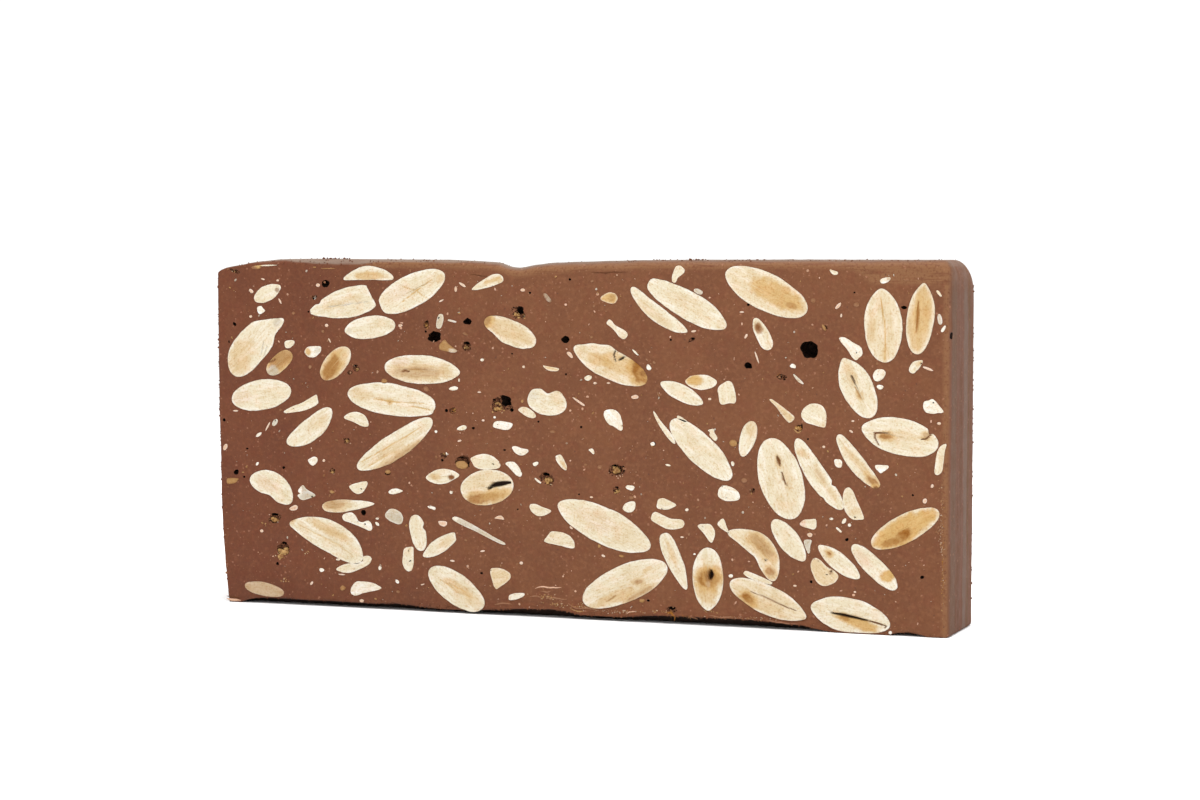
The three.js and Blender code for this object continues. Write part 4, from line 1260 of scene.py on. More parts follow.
# Larger broken bits, as (tone, outline).
SHARDS = [
    ("cream", [(-83.3, 76.6), (-81.5, 78.9), (-78.6, 79.8), (-75.9, 79.6), (-75.7, 78.6), (-77.5, 76.3),
        (-80.3, 75.1), (-82.8, 75.2)]),
    ("pale", [(-82.5, 74.1), (-81.2, 74.5), (-80.6, 73.6), (-80, 73.1), (-81.7, 72.1), (-82.3, 72.9)]),
    ("pink", [(-84.8, 78.3), (-84.2, 78.7), (-83.2, 77.9), (-83.9, 77.3)]),
    ("cream", [(-74.9, 65.8), (-72.2, 66), (-72, 65.1), (-73.2, 64), (-74.7, 63.9)]),
    ("pale", [(-69.5, 63), (-68.6, 64.4), (-66, 64.6), (-64.7, 64.5), (-64.8, 63.2), (-66.5, 61.8),
        (-68.2, 61.8)]),
    ("cream", [(-75.5, 48.2), (-73, 49.5), (-70.2, 50.3), (-68, 51.6), (-66, 52.8), (-65.7, 51.2),
        (-65.5, 50.4), (-69, 48.6), (-74.6, 47.7)]),
    ("cream", [(-59.2, 47), (-57, 48.4), (-54.8, 48.6), (-53, 47.9), (-52.1, 46.5), (-51.8, 45),
        (-53.5, 44.9), (-56, 45.9)]),
    ("pale", [(-68.8, 36.3), (-67.9, 36.8), (-66.9, 37.3), (-65.9, 37), (-65.8, 35.9), (-67, 34.8),
        (-67.9, 35.1)]),
    ("grey", [(-71.5, 28.5), (-70, 30.2), (-69.2, 29), (-66.2, 27.6), (-67.6, 27), (-70.3, 26.2),
        (-71.7, 27.4), (-70.5, 27.9)]),
    ("pink", [(-74, 24), (-73, 24.7), (-72, 25.1), (-71.3, 24.7), (-71.6, 23.8), (-73, 23.5)]),
    ("cream", [(-57.6, 30.2), (-56, 30.9), (-53.6, 31.5), (-52.3, 31.6), (-52.1, 30.7), (-53.4, 28.7),
        (-54.9, 28.1), (-56.3, 28.8)]),
    ("pale", [(-59.4, 22.6), (-58.6, 23.3), (-56.6, 23.8), (-55.4, 22.9), (-54.8, 21.5), (-53.5, 21.3),
        (-52.3, 21.9), (-51.3, 21.2), (-51, 19.7), (-51.8, 19.2), (-53.6, 20), (-57.2, 21.1),
        (-58.9, 21.5)]),
    ("cream", [(-61.5, 9.4), (-58.8, 8.6), (-56.8, 8.7), (-54.4, 9.8), (-51.8, 11.1), (-51.1, 12.5),
        (-52, 13.3), (-53.9, 12.9), (-53.4, 11.8), (-54.8, 11.2), (-58.3, 11)]),
    ("pale", [(-56.9, 5), (-55.6, 6.6), (-53, 6.8), (-50.5, 6.5), (-48.2, 5.4), (-49.5, 4.6), (-53, 4),
        (-55.8, 3.1), (-57, 3.6)]),
    ("tan", [(-91.4, 31.2), (-89, 31.3), (-87.5, 31.2), (-88.8, 29.9), (-91.2, 29.5)]),
    ("pale", [(-65.6, 9.5), (-64.7, 9.6), (-64, 9.1), (-64.8, 8.5), (-65.5, 8.7)]),
    ("cream", [(-24.7, 78.6), (-23, 80.1), (-20.8, 81.4), (-18.9, 82.4), (-17.2, 82.6), (-16.1, 81.8),
        (-16, 80.7), (-17.5, 80.1), (-19.9, 79.3), (-22.7, 78.6)]),
    ("grey", [(-33, 72.8), (-31.9, 72.8), (-31.7, 71.4), (-32.4, 69.2), (-33.6, 69.2), (-33.8, 70),
        (-33.5, 71.7)]),
    ("tan", [(-31.4, 66.8), (-30.7, 65.7), (-28.9, 64.5), (-27.8, 63.9), (-28.9, 63.3), (-31.1, 63.7),
        (-33, 64), (-33, 65.3)]),
    ("pink", [(-43.9, 70), (-43.3, 70.3), (-42.4, 70), (-43.6, 69.3)]),
    ("veiled", [(-6.1, 77.9), (-5, 78.1), (-3.2, 75.8), (-4.6, 75.8)]),
    ("warm", [(-6.1, 60.8), (-5, 60.6), (-1.3, 60.1), (-2.1, 59.3), (-4.3, 59.4), (-5.3, 60)]),
    ("pale", [(-30.6, 54.5), (-30, 55.1), (-28.8, 55.4), (-27.9, 55.1), (-28, 54.5), (-29.3, 54.2)]),
    ("cream", [(-12.5, 50), (-11.3, 50.7), (-10, 50.6), (-8.3, 49.7), (-7.4, 48.4), (-8.3, 47.9),
        (-9.9, 48.3), (-11.4, 49.2)]),
    ("pale", [(-18.8, 46.4), (-18.3, 47), (-16.8, 47.2), (-13.5, 46.7), (-13.9, 45.8), (-14.6, 45.1),
        (-16.1, 45), (-18.9, 45.6)]),
    ("cream", [(-28.6, 44.8), (-27.8, 45.6), (-26.4, 46.1), (-25.6, 45.6), (-25.8, 44.9), (-27.4, 44.5)]),
    ("cream", [(27.7, 84.5), (29, 84.6), (30.1, 83.7), (29.8, 82.8), (28.2, 81.8), (27.9, 80.7),
        (27.3, 80.5), (26.7, 80.9), (26.8, 82.3)]),
    ("grey", [(32.3, 79.3), (33.4, 79.3), (34.6, 78.6), (34.2, 77.8), (33.1, 78), (32.1, 78.7)]),
    ("golden", [(9, 77.3), (11, 78.4), (12.7, 78.1), (13.4, 76.8), (12.4, 75.4), (10.2, 75.9),
        (8.8, 76.5)]),
    ("cream", [(11, 72), (11.7, 71.7), (12.4, 70.6), (13.7, 69.9), (15.2, 69.2), (15.9, 68.3),
        (15.2, 67.3), (14.6, 67.1), (13.5, 67.8), (12.7, 69), (11.5, 70.1), (10.2, 70.9)]),
    ("pink", [(0.1, 63.9), (0.9, 64.2), (1.7, 63.6), (2, 62.5), (1.3, 62.6), (0.4, 63.4)]),
    ("cream", [(16.8, 65), (17.7, 64.5), (18.7, 63.4), (18.2, 63.4), (17.1, 64.3)]),
    ("pale", [(20.6, 61.4), (21, 61.4), (21.9, 60.4), (21.2, 59.9), (20.4, 60.3)]),
    ("cream", [(4.6, 57.9), (5.6, 58.6), (6.7, 58.4), (6.7, 57.8), (5.7, 57.1), (4.9, 57.5)]),
    ("cream", [(29.9, 57.6), (31.2, 58.9), (33.4, 59.2), (35.9, 59), (38.2, 57.6), (37.1, 56.2),
        (34.3, 55.4), (32.1, 55.9), (30.6, 56.7)]),
    ("cream", [(38.4, 56.8), (40.6, 58), (41.7, 57.5), (42.3, 55.7), (42.8, 53.4), (42.4, 52.4),
        (40.9, 52.6), (39.3, 52), (38.5, 52.6), (38.2, 54.5), (37.9, 55.7)]),
    ("pink", [(16.5, 53.7), (17.7, 54.2), (18.5, 53.9), (18.4, 53.2), (16.8, 53.1)]),
    ("pink", [(1.5, 53.4), (2.4, 53.1), (5.1, 51.4), (4.6, 51.1), (2.7, 52.3)]),
    ("pale", [(9.8, 50.4), (11.5, 50.7), (13.1, 50.3), (14.2, 49), (14.6, 47), (14.6, 45.6), (13.7, 45.4),
        (12, 46.7), (11.3, 46.7), (10.1, 47.8), (9.5, 49.2)]),
    ("cream", [(22, 50.6), (22.7, 50), (23.7, 48.4), (25.6, 46.4), (27.1, 44.8), (27.9, 42.8),
        (27.3, 42.7), (25.6, 44.2), (24, 46.4), (22.7, 48.7)]),
    ("cream", [(28.1, 49.5), (29, 49.3), (30.9, 48.1), (30.2, 47.8), (28.1, 48.7)]),
    ("cream", [(35.4, 46.2), (37.3, 46.7), (37.3, 45.7), (38.3, 44.5), (37.7, 43.5), (36.7, 44.2),
        (36, 45.1), (36.3, 45.7)]),
    ("pink", [(44.5, 67.9), (45.1, 69), (45.6, 68.6), (44.9, 67.6)]),
    ("cream", [(46.8, 72.5), (47.9, 72.6), (49.4, 71.1), (50.7, 69.2), (51.7, 67), (51.3, 65.4),
        (50.2, 65), (48.8, 65.7), (47.6, 67.9), (46.6, 70.1)]),
    ("cream", [(64.9, 84), (65.8, 83.7), (67.2, 83.3), (67.1, 82.7), (66, 82.5), (65.4, 83.1)]),
    ("pink", [(66.3, 75), (67.2, 76.1), (68, 76.4), (67.7, 75.4), (66.8, 74.7)]),
    ("pale", [(67.3, 68.1), (67.9, 68.4), (69.1, 68.3), (71, 67), (72.7, 66.1), (73.1, 64.5),
        (72.2, 63.7), (71.5, 62.9), (70.5, 63.6), (69.4, 65.4), (67.9, 67.2)]),
    ("pale", [(75.4, 59.8), (76.3, 61.1), (77.9, 61.1), (78.6, 60.3), (77.9, 59), (76.6, 58.2),
        (75.7, 58.7)]),
    ("pale", [(76.2, 57.2), (76.9, 57.6), (78, 57.3), (77.9, 56.7), (76.9, 56.4)]),
    ("cream", [(84, 61.7), (85, 63.1), (87.4, 63.5), (86.8, 62), (85, 60), (83.8, 60.7)]),
    ("pale", [(87.4, 54), (88.7, 54.2), (89.3, 54.7), (90.1, 54.2), (92.1, 51.8), (91.9, 51.4),
        (90.7, 51.4), (89.9, 51.1), (87.9, 51.4), (87.2, 52.6)]),
    ("cream", [(58.3, 49.8), (58.5, 51.1), (60.4, 52.8), (62.2, 53.1), (63.7, 52.5), (64.4, 51.1),
        (64.5, 49.5), (64.3, 47.3), (63, 47.6), (61.6, 48), (59.4, 48.4)]),
    ("warm", [(50.5, 53.7), (51.2, 53.9), (52.7, 52.9), (55.1, 51.2), (57, 49.7), (56.3, 48.7),
        (55.5, 48.3), (54.1, 49.8), (52.2, 52.3)]),
    ("pale", [(55.5, 61.5), (56.2, 62.2), (57.1, 61.8), (57.2, 60.9), (56, 61.1)]),
    ("grey", [(56.3, 59.8), (56.9, 59.6), (59.1, 57.6), (59, 57.2), (57.6, 57.9), (56.8, 58.9)]),
    ("pale", [(76.9, 81.5), (77.9, 82), (79.6, 82.2), (79.4, 81.4), (78.3, 80.7), (77.2, 80.7)]),
    ("warm", [(90, 79.2), (90.7, 79.3), (91.6, 77.9), (91.2, 77.6), (90.2, 78.6)]),
    ("pale", [(91.2, 69.7), (91.3, 70.4), (92.2, 71.4), (92.5, 70.9), (91.8, 69.7)]),
    ("cream", [(-36.9, 32.8), (-35.8, 33.9), (-33.9, 35), (-31.7, 35.2), (-29.2, 34.9), (-27.5, 33.9),
        (-27.8, 33.3), (-29.2, 32.5), (-31, 31.6), (-32.7, 31.3), (-34.9, 31.7)]),
    ("cream", [(-25, 38), (-23.3, 38.8), (-21.1, 39.1), (-18.9, 38.6), (-17.2, 37.5), (-16.7, 36.3),
        (-17.4, 35.5), (-19.9, 35.4), (-22.4, 35.3), (-23.8, 35.8), (-24.6, 37.2)]),
    ("pale", [(-15.8, 36.9), (-14.9, 37.4), (-13.3, 37.4), (-12.1, 36.3), (-11.1, 34.6), (-11.6, 33.7),
        (-12.7, 34.1), (-14.1, 35.5), (-15, 36.4)]),
    ("pale", [(-14.1, 41), (-13, 41.3), (-11.4, 40.7), (-9.7, 40.5), (-9.5, 39.9), (-10.8, 38.9),
        (-12.2, 39), (-13.3, 39.7)]),
    ("pale", [(-8.7, 37.1), (-7.4, 37.7), (-6.8, 37.2), (-8, 36.3)]),
    ("pale", [(-8.2, 33.8), (-7.4, 33.5), (-6.1, 32.5), (-6.6, 32.3), (-7.7, 33)]),
    ("pale", [(-46.8, 29.1), (-45.7, 29.9), (-44.2, 30), (-42.4, 29.4), (-43.9, 28.9), (-45.2, 28.5),
        (-46.4, 28.6)]),
    ("pale", [(-36.3, 26), (-35.2, 26), (-33.9, 25.7), (-34.1, 24.9), (-34.9, 25.2), (-36, 25.5)]),
    ("grey", [(-47.7, 23.6), (-46.4, 24.9), (-44.9, 24.9), (-43.2, 24.1), (-42.6, 22.7), (-43, 21.4),
        (-44.1, 21), (-46.1, 21.7), (-47.5, 22.7)]),
    ("pink", [(-33.5, 22.4), (-32.4, 22.5), (-31, 22.4), (-30.9, 21.6), (-31.7, 21), (-33, 21.4)]),
    ("cream", [(-42.5, 15.3), (-41.1, 15.7), (-39.9, 15.9), (-40, 13.9), (-39.9, 11.7), (-40.3, 10),
        (-41.3, 9.6), (-42.4, 10.3), (-43, 11.7), (-42.7, 13.9)]),
    ("grey", [(-29.9, 23.2), (-28.9, 23.7), (-27.4, 23.3), (-24.6, 22.1), (-21.4, 20.5), (-18.3, 18.9),
        (-15.8, 17.8), (-15.5, 17.2), (-16.7, 17.3), (-19.9, 18.6), (-23.6, 20.3), (-26.7, 21.4),
        (-28.9, 22.4)]),
    ("pink", [(-18.8, 23.5), (-17.7, 24.2), (-16.6, 24.4), (-15.7, 23.2), (-17.1, 23.4)]),
    ("cream", [(-9.5, 26.7), (-9.1, 27.4), (-7.7, 27.4), (-6.1, 26.7), (-3.5, 26), (-4.2, 25.2),
        (-5.8, 24.5), (-7.4, 24.5), (-8.9, 25.5)]),
    ("cream", [(-5.8, 18.5), (-5, 19.6), (-3.9, 21.1), (-2.1, 21), (0, 20.7), (1.3, 19.9), (2.2, 18.8),
        (2.4, 17.2), (1.5, 17), (-2.4, 17.8), (-4.6, 18.1)]),
    ("cream", [(-2.8, 39.1), (-1.4, 39.6), (-0.7, 38.9), (0.4, 36.7), (0.3, 35.7), (-0.2, 35.7),
        (-1.1, 36.3), (-2.4, 37.8)]),
    ("warm", [(-19.7, 11.3), (-18, 11.5), (-15.5, 11.2), (-14.2, 10.5), (-14.1, 9.2), (-15.5, 7.8),
        (-17.1, 6.7), (-18, 6.1), (-18.8, 7.1), (-19.2, 8.9)]),
    ("pale", [(-14.9, 4.4), (-14.7, 5.2), (-13, 5.7), (-10.5, 5.8), (-10.8, 5), (-12.7, 4.1),
        (-14.7, 3.8)]),
    ("cream", [(5.6, 40.9), (7, 41.3), (7.5, 40), (7.1, 39.6), (6.3, 40.3)]),
    ("pale", [(15.1, 32.2), (15.6, 32.7), (17.6, 32.5), (17.4, 31.7), (16.8, 31.3), (15.6, 31.7)]),
    ("pale", [(14.3, 26.9), (14.9, 28.2), (16.5, 28.9), (17.7, 28.8), (17.7, 27.2), (17, 26.3),
        (15.7, 26.1)]),
    ("cream", [(23.1, 28.3), (23.4, 29.6), (24.6, 30), (26.5, 29.2), (28.2, 28.3), (27.1, 27.7),
        (25.9, 27.2), (24, 27.2), (23.1, 27.5)]),
    ("cream", [(21.3, 24.7), (22, 26.3), (22.9, 26.7), (24.3, 26.1), (26.2, 25.2), (28.1, 25.1),
        (29.6, 25), (30.2, 24.1), (29.8, 23), (27.7, 22.4), (25.6, 22.5), (23.4, 23.5)]),
    ("cream", [(32.9, 23.6), (34, 24.2), (36.5, 24.4), (37.7, 22.5), (37.6, 21.1), (36.8, 19.5),
        (35.9, 20.3), (34.6, 22.1)]),
    ("cream", [(37.9, 24.2), (39.2, 25.6), (39.8, 25.5), (40.4, 23.9), (41, 22.5), (41.2, 21.8),
        (40.2, 22.5), (39, 23.2)]),
    ("pale", [(38.2, 31.3), (38.5, 32.7), (39.9, 33.4), (41.8, 33), (43.2, 32.1), (43.8, 30.8),
        (43.4, 30), (41.8, 29.6), (39.9, 29.6), (38.4, 30.5)]),
    ("pale", [(41.3, 38.9), (42.1, 39.1), (42.4, 38.2), (41.8, 37.7)]),
    ("pale", [(40.7, 12.2), (41.7, 12.7), (42.2, 12), (41.3, 11.6)]),
    ("cream", [(44.3, 12.8), (45.1, 13.7), (47, 13), (50.1, 11.8), (51.8, 11), (51.3, 10.5), (49.7, 10.8),
        (46, 11.7)]),
    ("pale", [(66.2, 40.3), (67.9, 40.3), (68.4, 39.6), (68.2, 38.3), (67.2, 38.2), (66.5, 38.8)]),
    ("pale", [(76, 39.1), (76.9, 39.2), (79.4, 39.2), (79.4, 38.5), (78.2, 37.7), (77.4, 37.1),
        (76.8, 37.8), (76.2, 38.3)]),
    ("cream", [(92.9, 44.6), (92.4, 43), (92.2, 41.4), (91.9, 38), (90.7, 37.1), (89.9, 37.6),
        (90.2, 40.2), (90.6, 42.6), (91.4, 44)]),
    ("cream", [(68.4, 32), (69, 33.6), (69.9, 34), (70.8, 33.3), (71.9, 30.8), (73, 28.6), (73.7, 26.7),
        (73.3, 26.4), (71, 26.4), (69.9, 27.2), (69.1, 28.3), (68.5, 30.2)]),
    ("cream", [(58.1, 25), (59.1, 26), (60.7, 26.1), (62.2, 26.4), (62.2, 24.2), (61.6, 23.7),
        (60.1, 24.1), (58.3, 24.6)]),
    ("cream", [(68.1, 25.5), (68.7, 26.6), (69.4, 26.7), (69.3, 25.8), (68.7, 25.3)]),
    ("grey", [(59.1, 21.1), (59.7, 21.4), (61.3, 21.4), (60.7, 19.9), (60.8, 18.3), (60.2, 18),
        (59.4, 19.9)]),
    ("warm", [(60.7, 15.5), (61.2, 16.9), (62.2, 17.4), (63.5, 16.6), (64.7, 15.2), (66.3, 14.7),
        (67.6, 13.6), (67.6, 12.7), (66.6, 11.6), (64.7, 10.8), (63.5, 10.7), (62.2, 11.7),
        (61.3, 13.6)]),
    ("tan", [(-28.8, 36.4), (-28.3, 37.1), (-26.4, 37.3), (-25.3, 36.3), (-25.6, 35.5), (-26.8, 35.2),
        (-28.2, 35.5)]),
]

# Stains on the broken bits, as (tone, x, z, length, width, turn, strength).
CHIP_STAINS = [
    ("golden", -82, 84.3, 2.4, 1.2, 0, 0.9), ("tan", 11.8, 77, 2.6, 2, 30, 0.6),
    ("golden", -3.6, 60, 4.4, 0.9, -10, 0.6), ("grey", -4.6, 77, 3, 1.6, -60, 0.5),
    ("brown", -76.7, 78.4, 1.5, 1.3, 0, 0.7), ("golden", -68.3, 63.2, 2, 2.2, 20, 0.9),
    ("grey", -65.6, 63.6, 2, 1.8, 0, 0.5), ("orange", 48.1, 70.2, 2.2, 2.8, 30, 0.8),
    ("brown", 48, 70.3, 1, 1.6, 30, 1),
    ("brown", -29.8, 33.2, 2, 1.3, 0, 1), ("golden", -34, 33.2, 3.5, 2, 0, 0.6),
    ("golden", -19, 81, 6, 1.2, 20, 0.7), ("pale", -29.1, 63.7, 2.6, 1.4, -20, 0.5),
    ("golden", 32.3, 57.8, 4.6, 3, 0, 1), ("brown", 65.8, 14.2, 0.8, 1.6, -20, 0.7),
    ("pale", -71, 28.6, 1.8, 3.4, 0, 0.9), ("golden", 86.2, 62.6, 2, 1.2, 30, 0.5),
    ("golden", 71.8, 28.4, 2, 3, -60, 0.4), ("pink", 59, 25, 1.8, 2, 0, 0.6),
    ("golden", -17, 81.2, 2, 1.6, 0, 0.5), ("tan", 79.2, 81.6, 1.4, 1, 0, 0.5),
    ("golden", -0.6, 37.2, 3, 0.9, -52, 0.6), ("pale", -29, 23.3, 2.4, 1.6, 0, 0.9),
    ("tan", 53.4, 51, 4, 0.8, -42, 0.4), ("golden", -59.4, 22.6, 1, 1, 0, 0.3),
]

# How a plain bit differs from an oval. Corners make it a rough polygon.
FORMS = {
    "oval": {},
    "leaf": {"point": 0.7},
    "stick": {"square": 0.55},
    "block": {"corners": 4},
    "shard": {"corners": 6},
}
CHIP_DEPTH = 0.9
STAIN_REACH = 8  # from a stain to the middle of a bit that it can touch
FINEST_STEP = 0.12  # between the points of the smallest outlines
BACK_CHIPS = 130
BACK_TONES = ("cream", "pale", "cream", "pink", "tan", "cream", "grey")
DULL_TONES = ("tan", "orange", "veiled")


def oval_outline(length, width, point=0, square=1):
    """An oval along X about the origin, with pointed or squarer ends."""
    turn = np.linspace(0, 2 * math.pi, 48, endpoint=False)
    reach = np.sign(np.cos(turn)) * np.abs(np.cos(turn)) ** square
    side = np.sign(np.sin(turn)) * np.abs(np.sin(turn)) ** (square + point * np.abs(reach))
    return np.stack([reach * length / 2, side * width / 2], 1)


def cornered_outline(length, width, corners, seed):
    """A rough polygon along X about the origin."""
    draw = np.random.default_rng(seed)
    turn = 2 * math.pi * (np.arange(corners) + draw.uniform(-0.2, 0.2, corners)) / corners
    size = draw.uniform(0.9, 1.15, corners)
    points = np.stack([np.cos(turn) * size * length / 2, np.sin(turn) * size * width / 2], 1)
    return clipped_outline(points)


def clipped_outline(points):
    """The same outline with its corners clipped, and clipped again."""
    points = np.asarray(points, float)
    for _ in range(2):
        after = np.roll(points, -1, axis=0)
        pair = (0.8 * points + 0.2 * after, 0.2 * points + 0.8 * after)
        points = np.stack(pair, 1).reshape(-1, 2)
    return points


def chip_outline(form, x, z, length, width, turn, seed):
    options = FORMS[form]
    if "corners" in options:
        outline = cornered_outline(length, width, options["corners"], seed)
    else:
        outline = oval_outline(length, width, **options)
    cos, sin = math.cos(math.radians(turn)), math.sin(math.radians(turn))
    outline = outline @ np.array([[cos, sin], [-sin, cos]]) + (x, z)
    outline[:, 1] = np.maximum(outline[:, 1], 0.25)
    return ragged_outline(outline, length, width, seed)


def ragged_outline(outline, length, width, seed):
    step = min(0.35, max(length / 8, FINEST_STEP))
    return uneven_outline(even_outline(outline, step), min(0.15, 0.06 * width), seed)


def anticlockwise(outline):
    x, z = np.asarray(outline, float).T
    turning = (x * np.roll(z, -1) - np.roll(x, -1) * z).sum()
    return outline if turning > 0 else outline[::-1]


def add_chip(heap, face, tone, outline, width, seed):
    points, faces, rim = plug(outline, face, min(CHIP_DEPTH, width / 2 + 0.2), 0.3)
    tint = mix(TONES[tone], TONES["warm"], 0.15 + 0.15 * noise(points, 2.5, seed))
    if tone in DULL_TONES:
        tint = mix(TONES[tone], MILK_CHOCOLATE, 0.5 * (1 - ramp(rim, 0, 0.4)))
    else:
        tint = mix(tint, TONES["pale"], 0.4 * (1 - ramp(rim, 0.1, 0.5)))
    for stain, x, z, length, breadth, turn, strength in CHIP_STAINS:
        if np.hypot(*(outline.mean(0) - (x, z))) < STAIN_REACH:
            tint = mix(tint, TONES[stain], strength * in_oval(points, x, z, length, breadth, turn))
    heap.add(points, faces, tint, grain_of(points, outline, seed))


def add_back_chips(chips, sections):
    """Seeded bits like the front face's, clear of the almonds and of each other."""
    places, draw = scattered(BACK_CHIPS, 51, BACK_MARGIN)
    clear = clear_of(places, outlines_on(sections, BACK), 3.2)
    taken = []
    for number, (x, z) in enumerate(places[clear]):
        length = 1 + 8 * draw.random() ** 2
        if any(math.hypot(x - a, z - b) < length for a, b in taken):
            continue
        taken.append((x, z))
        width = length * draw.uniform(0.3, 0.7)
        form, tone = list(FORMS)[number % len(FORMS)], BACK_TONES[number % len(BACK_TONES)]
        outline = chip_outline(form, x, z, length, width, draw.uniform(-70, 40), BACK_CHIP_SEED + number)
        add_chip(chips, BACK, tone, outline, width, BACK_CHIP_SEED + number)


def make_chips(material, sections):
    """The broken bits in the front face, and seeded ones like them in the back face."""
    chips = Heap()
    for number, (tone, form, x, z, length, width, turn) in enumerate(CHIPS):
        outline = chip_outline(form, x, z, length, width, turn, CHIP_SEED + number)
        add_chip(chips, FRONT, tone, outline, width, CHIP_SEED + number)
    for number, (tone, corners) in enumerate(SHARDS):
        outline = clipped_outline(anticlockwise(corners))
        _, _, _, _, half_width = grain_axis(outline)
        outline = ragged_outline(outline, 6, half_width, SHARD_SEED + number)
        add_chip(chips, FRONT, tone, outline, 2 * half_width, SHARD_SEED + number)
    add_back_chips(chips, sections)
    chips.dress("almond_chips", material)


FLAKE_TONES = ("pink", "veiled", "tan", "veiled", "pink", "veiled", "grey")
FLAKES = 1000


def make_flakes(material, sections):
    """Tiny flecks of almond all over both faces."""
    flakes = Heap()
    for face, seed in ((FRONT, 71), (BACK, 72)):
        places, draw = scattered(FLAKES, seed, 1.5)
        clear = clear_of(places, outlines_on(sections, face), 0.6)
        for number, (x, z) in enumerate(places[clear]):
            length = 0.25 + 0.7 * draw.random() ** 3
            width = length * draw.uniform(0.4, 0.9)
            turn = draw.uniform(0, 180)
            outline = chip_outline("shard", x, z, length, width, turn, seed * 1000 + number)
            points, faces, _ = plug(outline, face, 0.3, 0.5)
            tone = TONES[FLAKE_TONES[number % len(FLAKE_TONES)]]
            flakes.add(points, faces, mix(tone, MILK_CHOCOLATE, 0.6 * draw.random()), (0, 0, number % 50))
    flakes.dress("almond_flakes", material)


# Single large crumbs in the torn places, as (tone, x, z, length, width, turn).
BIG_CRUMBS = [
    ("tan", -75.8, 13, 3.5, 3, 20), ("tan", -78, 21, 2.6, 1.9, 0), ("tan", -17.9, 50, 3.2, 1.8, -15),
    ("tan", -18, 51.4, 1.9, 1.1, 0), ("tan", -12.6, 72.6, 2, 1.5, -30), ("tan", -26.1, 64.8, 1.4, 1.2, 0),
    ("orange", -29.2, 49.5, 1.7, 1.3, 0), ("tan", -4.7, 33.1, 2.8, 1.9, -10),
    ("tan", 12.8, 36, 3.2, 2.2, -15), ("tan", 13, 30.9, 1.7, 1.4, 0),
    ("tan", -57.9, 41.2, 1.3, 1.1, 0), ("tan", -61.9, 33.5, 1.2, 1, 0),
    ("orange", 57.7, 47.3, 1.5, 1.7, 0), ("tan", -55.1, 59, 1.2, 0.9, 40), ("pink", -57, 58.1, 0.8, 0.7, 0),
    ("tan", 22.1, 42.3, 1.2, 1, 0), ("tan", -31.7, 38.8, 1.3, 0.8, 0), ("orange", -36.5, 69.9, 1.1, 1, 0),
]
BITS = 7  # to each large crumb, the first the largest

# Heaps of small crumbs, as (tone, x, z, length, width, turn, crumb size).
CRUMBS = [
    ("tan", -17.6, 50, 4.6, 1.6, 0, 0.5), ("tan", -11.2, 72.6, 2.2, 0.9, -30, 0.45),
    ("orange", -36.4, 70.2, 1.8, 1.2, 0, 0.4), ("tan", -88.9, 82.8, 2.4, 0.8, -20, 0.4),
    ("orange", -29.3, 49.4, 2, 1.2, 0, 0.4), ("tan", -80.6, 20.1, 2.2, 1.2, 0, 0.45),
    ("tan", -76.2, 12.3, 3.2, 1.8, 0, 0.5), ("tan", -61.9, 33.6, 1.4, 0.9, 0, 0.4),
    ("tan", -58.6, 41.6, 1.4, 0.8, 0, 0.4), ("pale", -31.4, 38.9, 1.8, 1, 0, 0.4),
    ("tan", -4.9, 32.6, 2.8, 1, -15, 0.45), ("pink", 14, 34.6, 2.2, 0.8, 0, 0.4),
    ("orange", 26.4, 2.7, 2.6, 1.3, 0, 0.35), ("orange", 27.2, 1.6, 0.5, 1.3, 0, 0.3),
    ("orange", 53.3, 59.3, 2, 1, 0, 0.4), ("tan", -75.6, 5.9, 2.2, 2.2, 0, 0.5),
    ("tan", 46.4, 32, 1, 0.9, 0, 0.35), ("tan", -69.3, 13.2, 1.8, 1.1, 0, 0.4),
    ("tan", -4.6, 5.1, 6.4, 1.4, -4, 0.4), ("tan", -2, 3.2, 6, 1, -8, 0.35),
    ("orange", 31, 1.9, 4, 0.6, -6, 0.3), ("tan", 23, 2.8, 5, 0.8, 0, 0.35),
    ("veiled", 91.6, 31.4, 1.4, 1, 0, 0.4), ("orange", 92.1, 17, 0.6, 22, 0, 0.3),
    ("veiled", 91.6, 26, 1.4, 18, 0, 0.35), ("pale", -66.5, 76.5, 1.4, 0.9, 0, 0.3),
    ("tan", 3, 3.4, 8, 1.2, 0, 0.35), ("veiled", 14, 2.4, 16, 1, 0, 0.4),
    ("veiled", 45, 2.4, 18, 0.8, 0, 0.35), ("tan", 36, 3.6, 4, 1.2, 0, 0.4),
    ("veiled", 5.4, 6.8, 3, 3, 0, 0.35), ("pink", -0.6, 10.4, 1.2, 1, 0, 0.35),
]
CRUMB_SHARE = 0.5
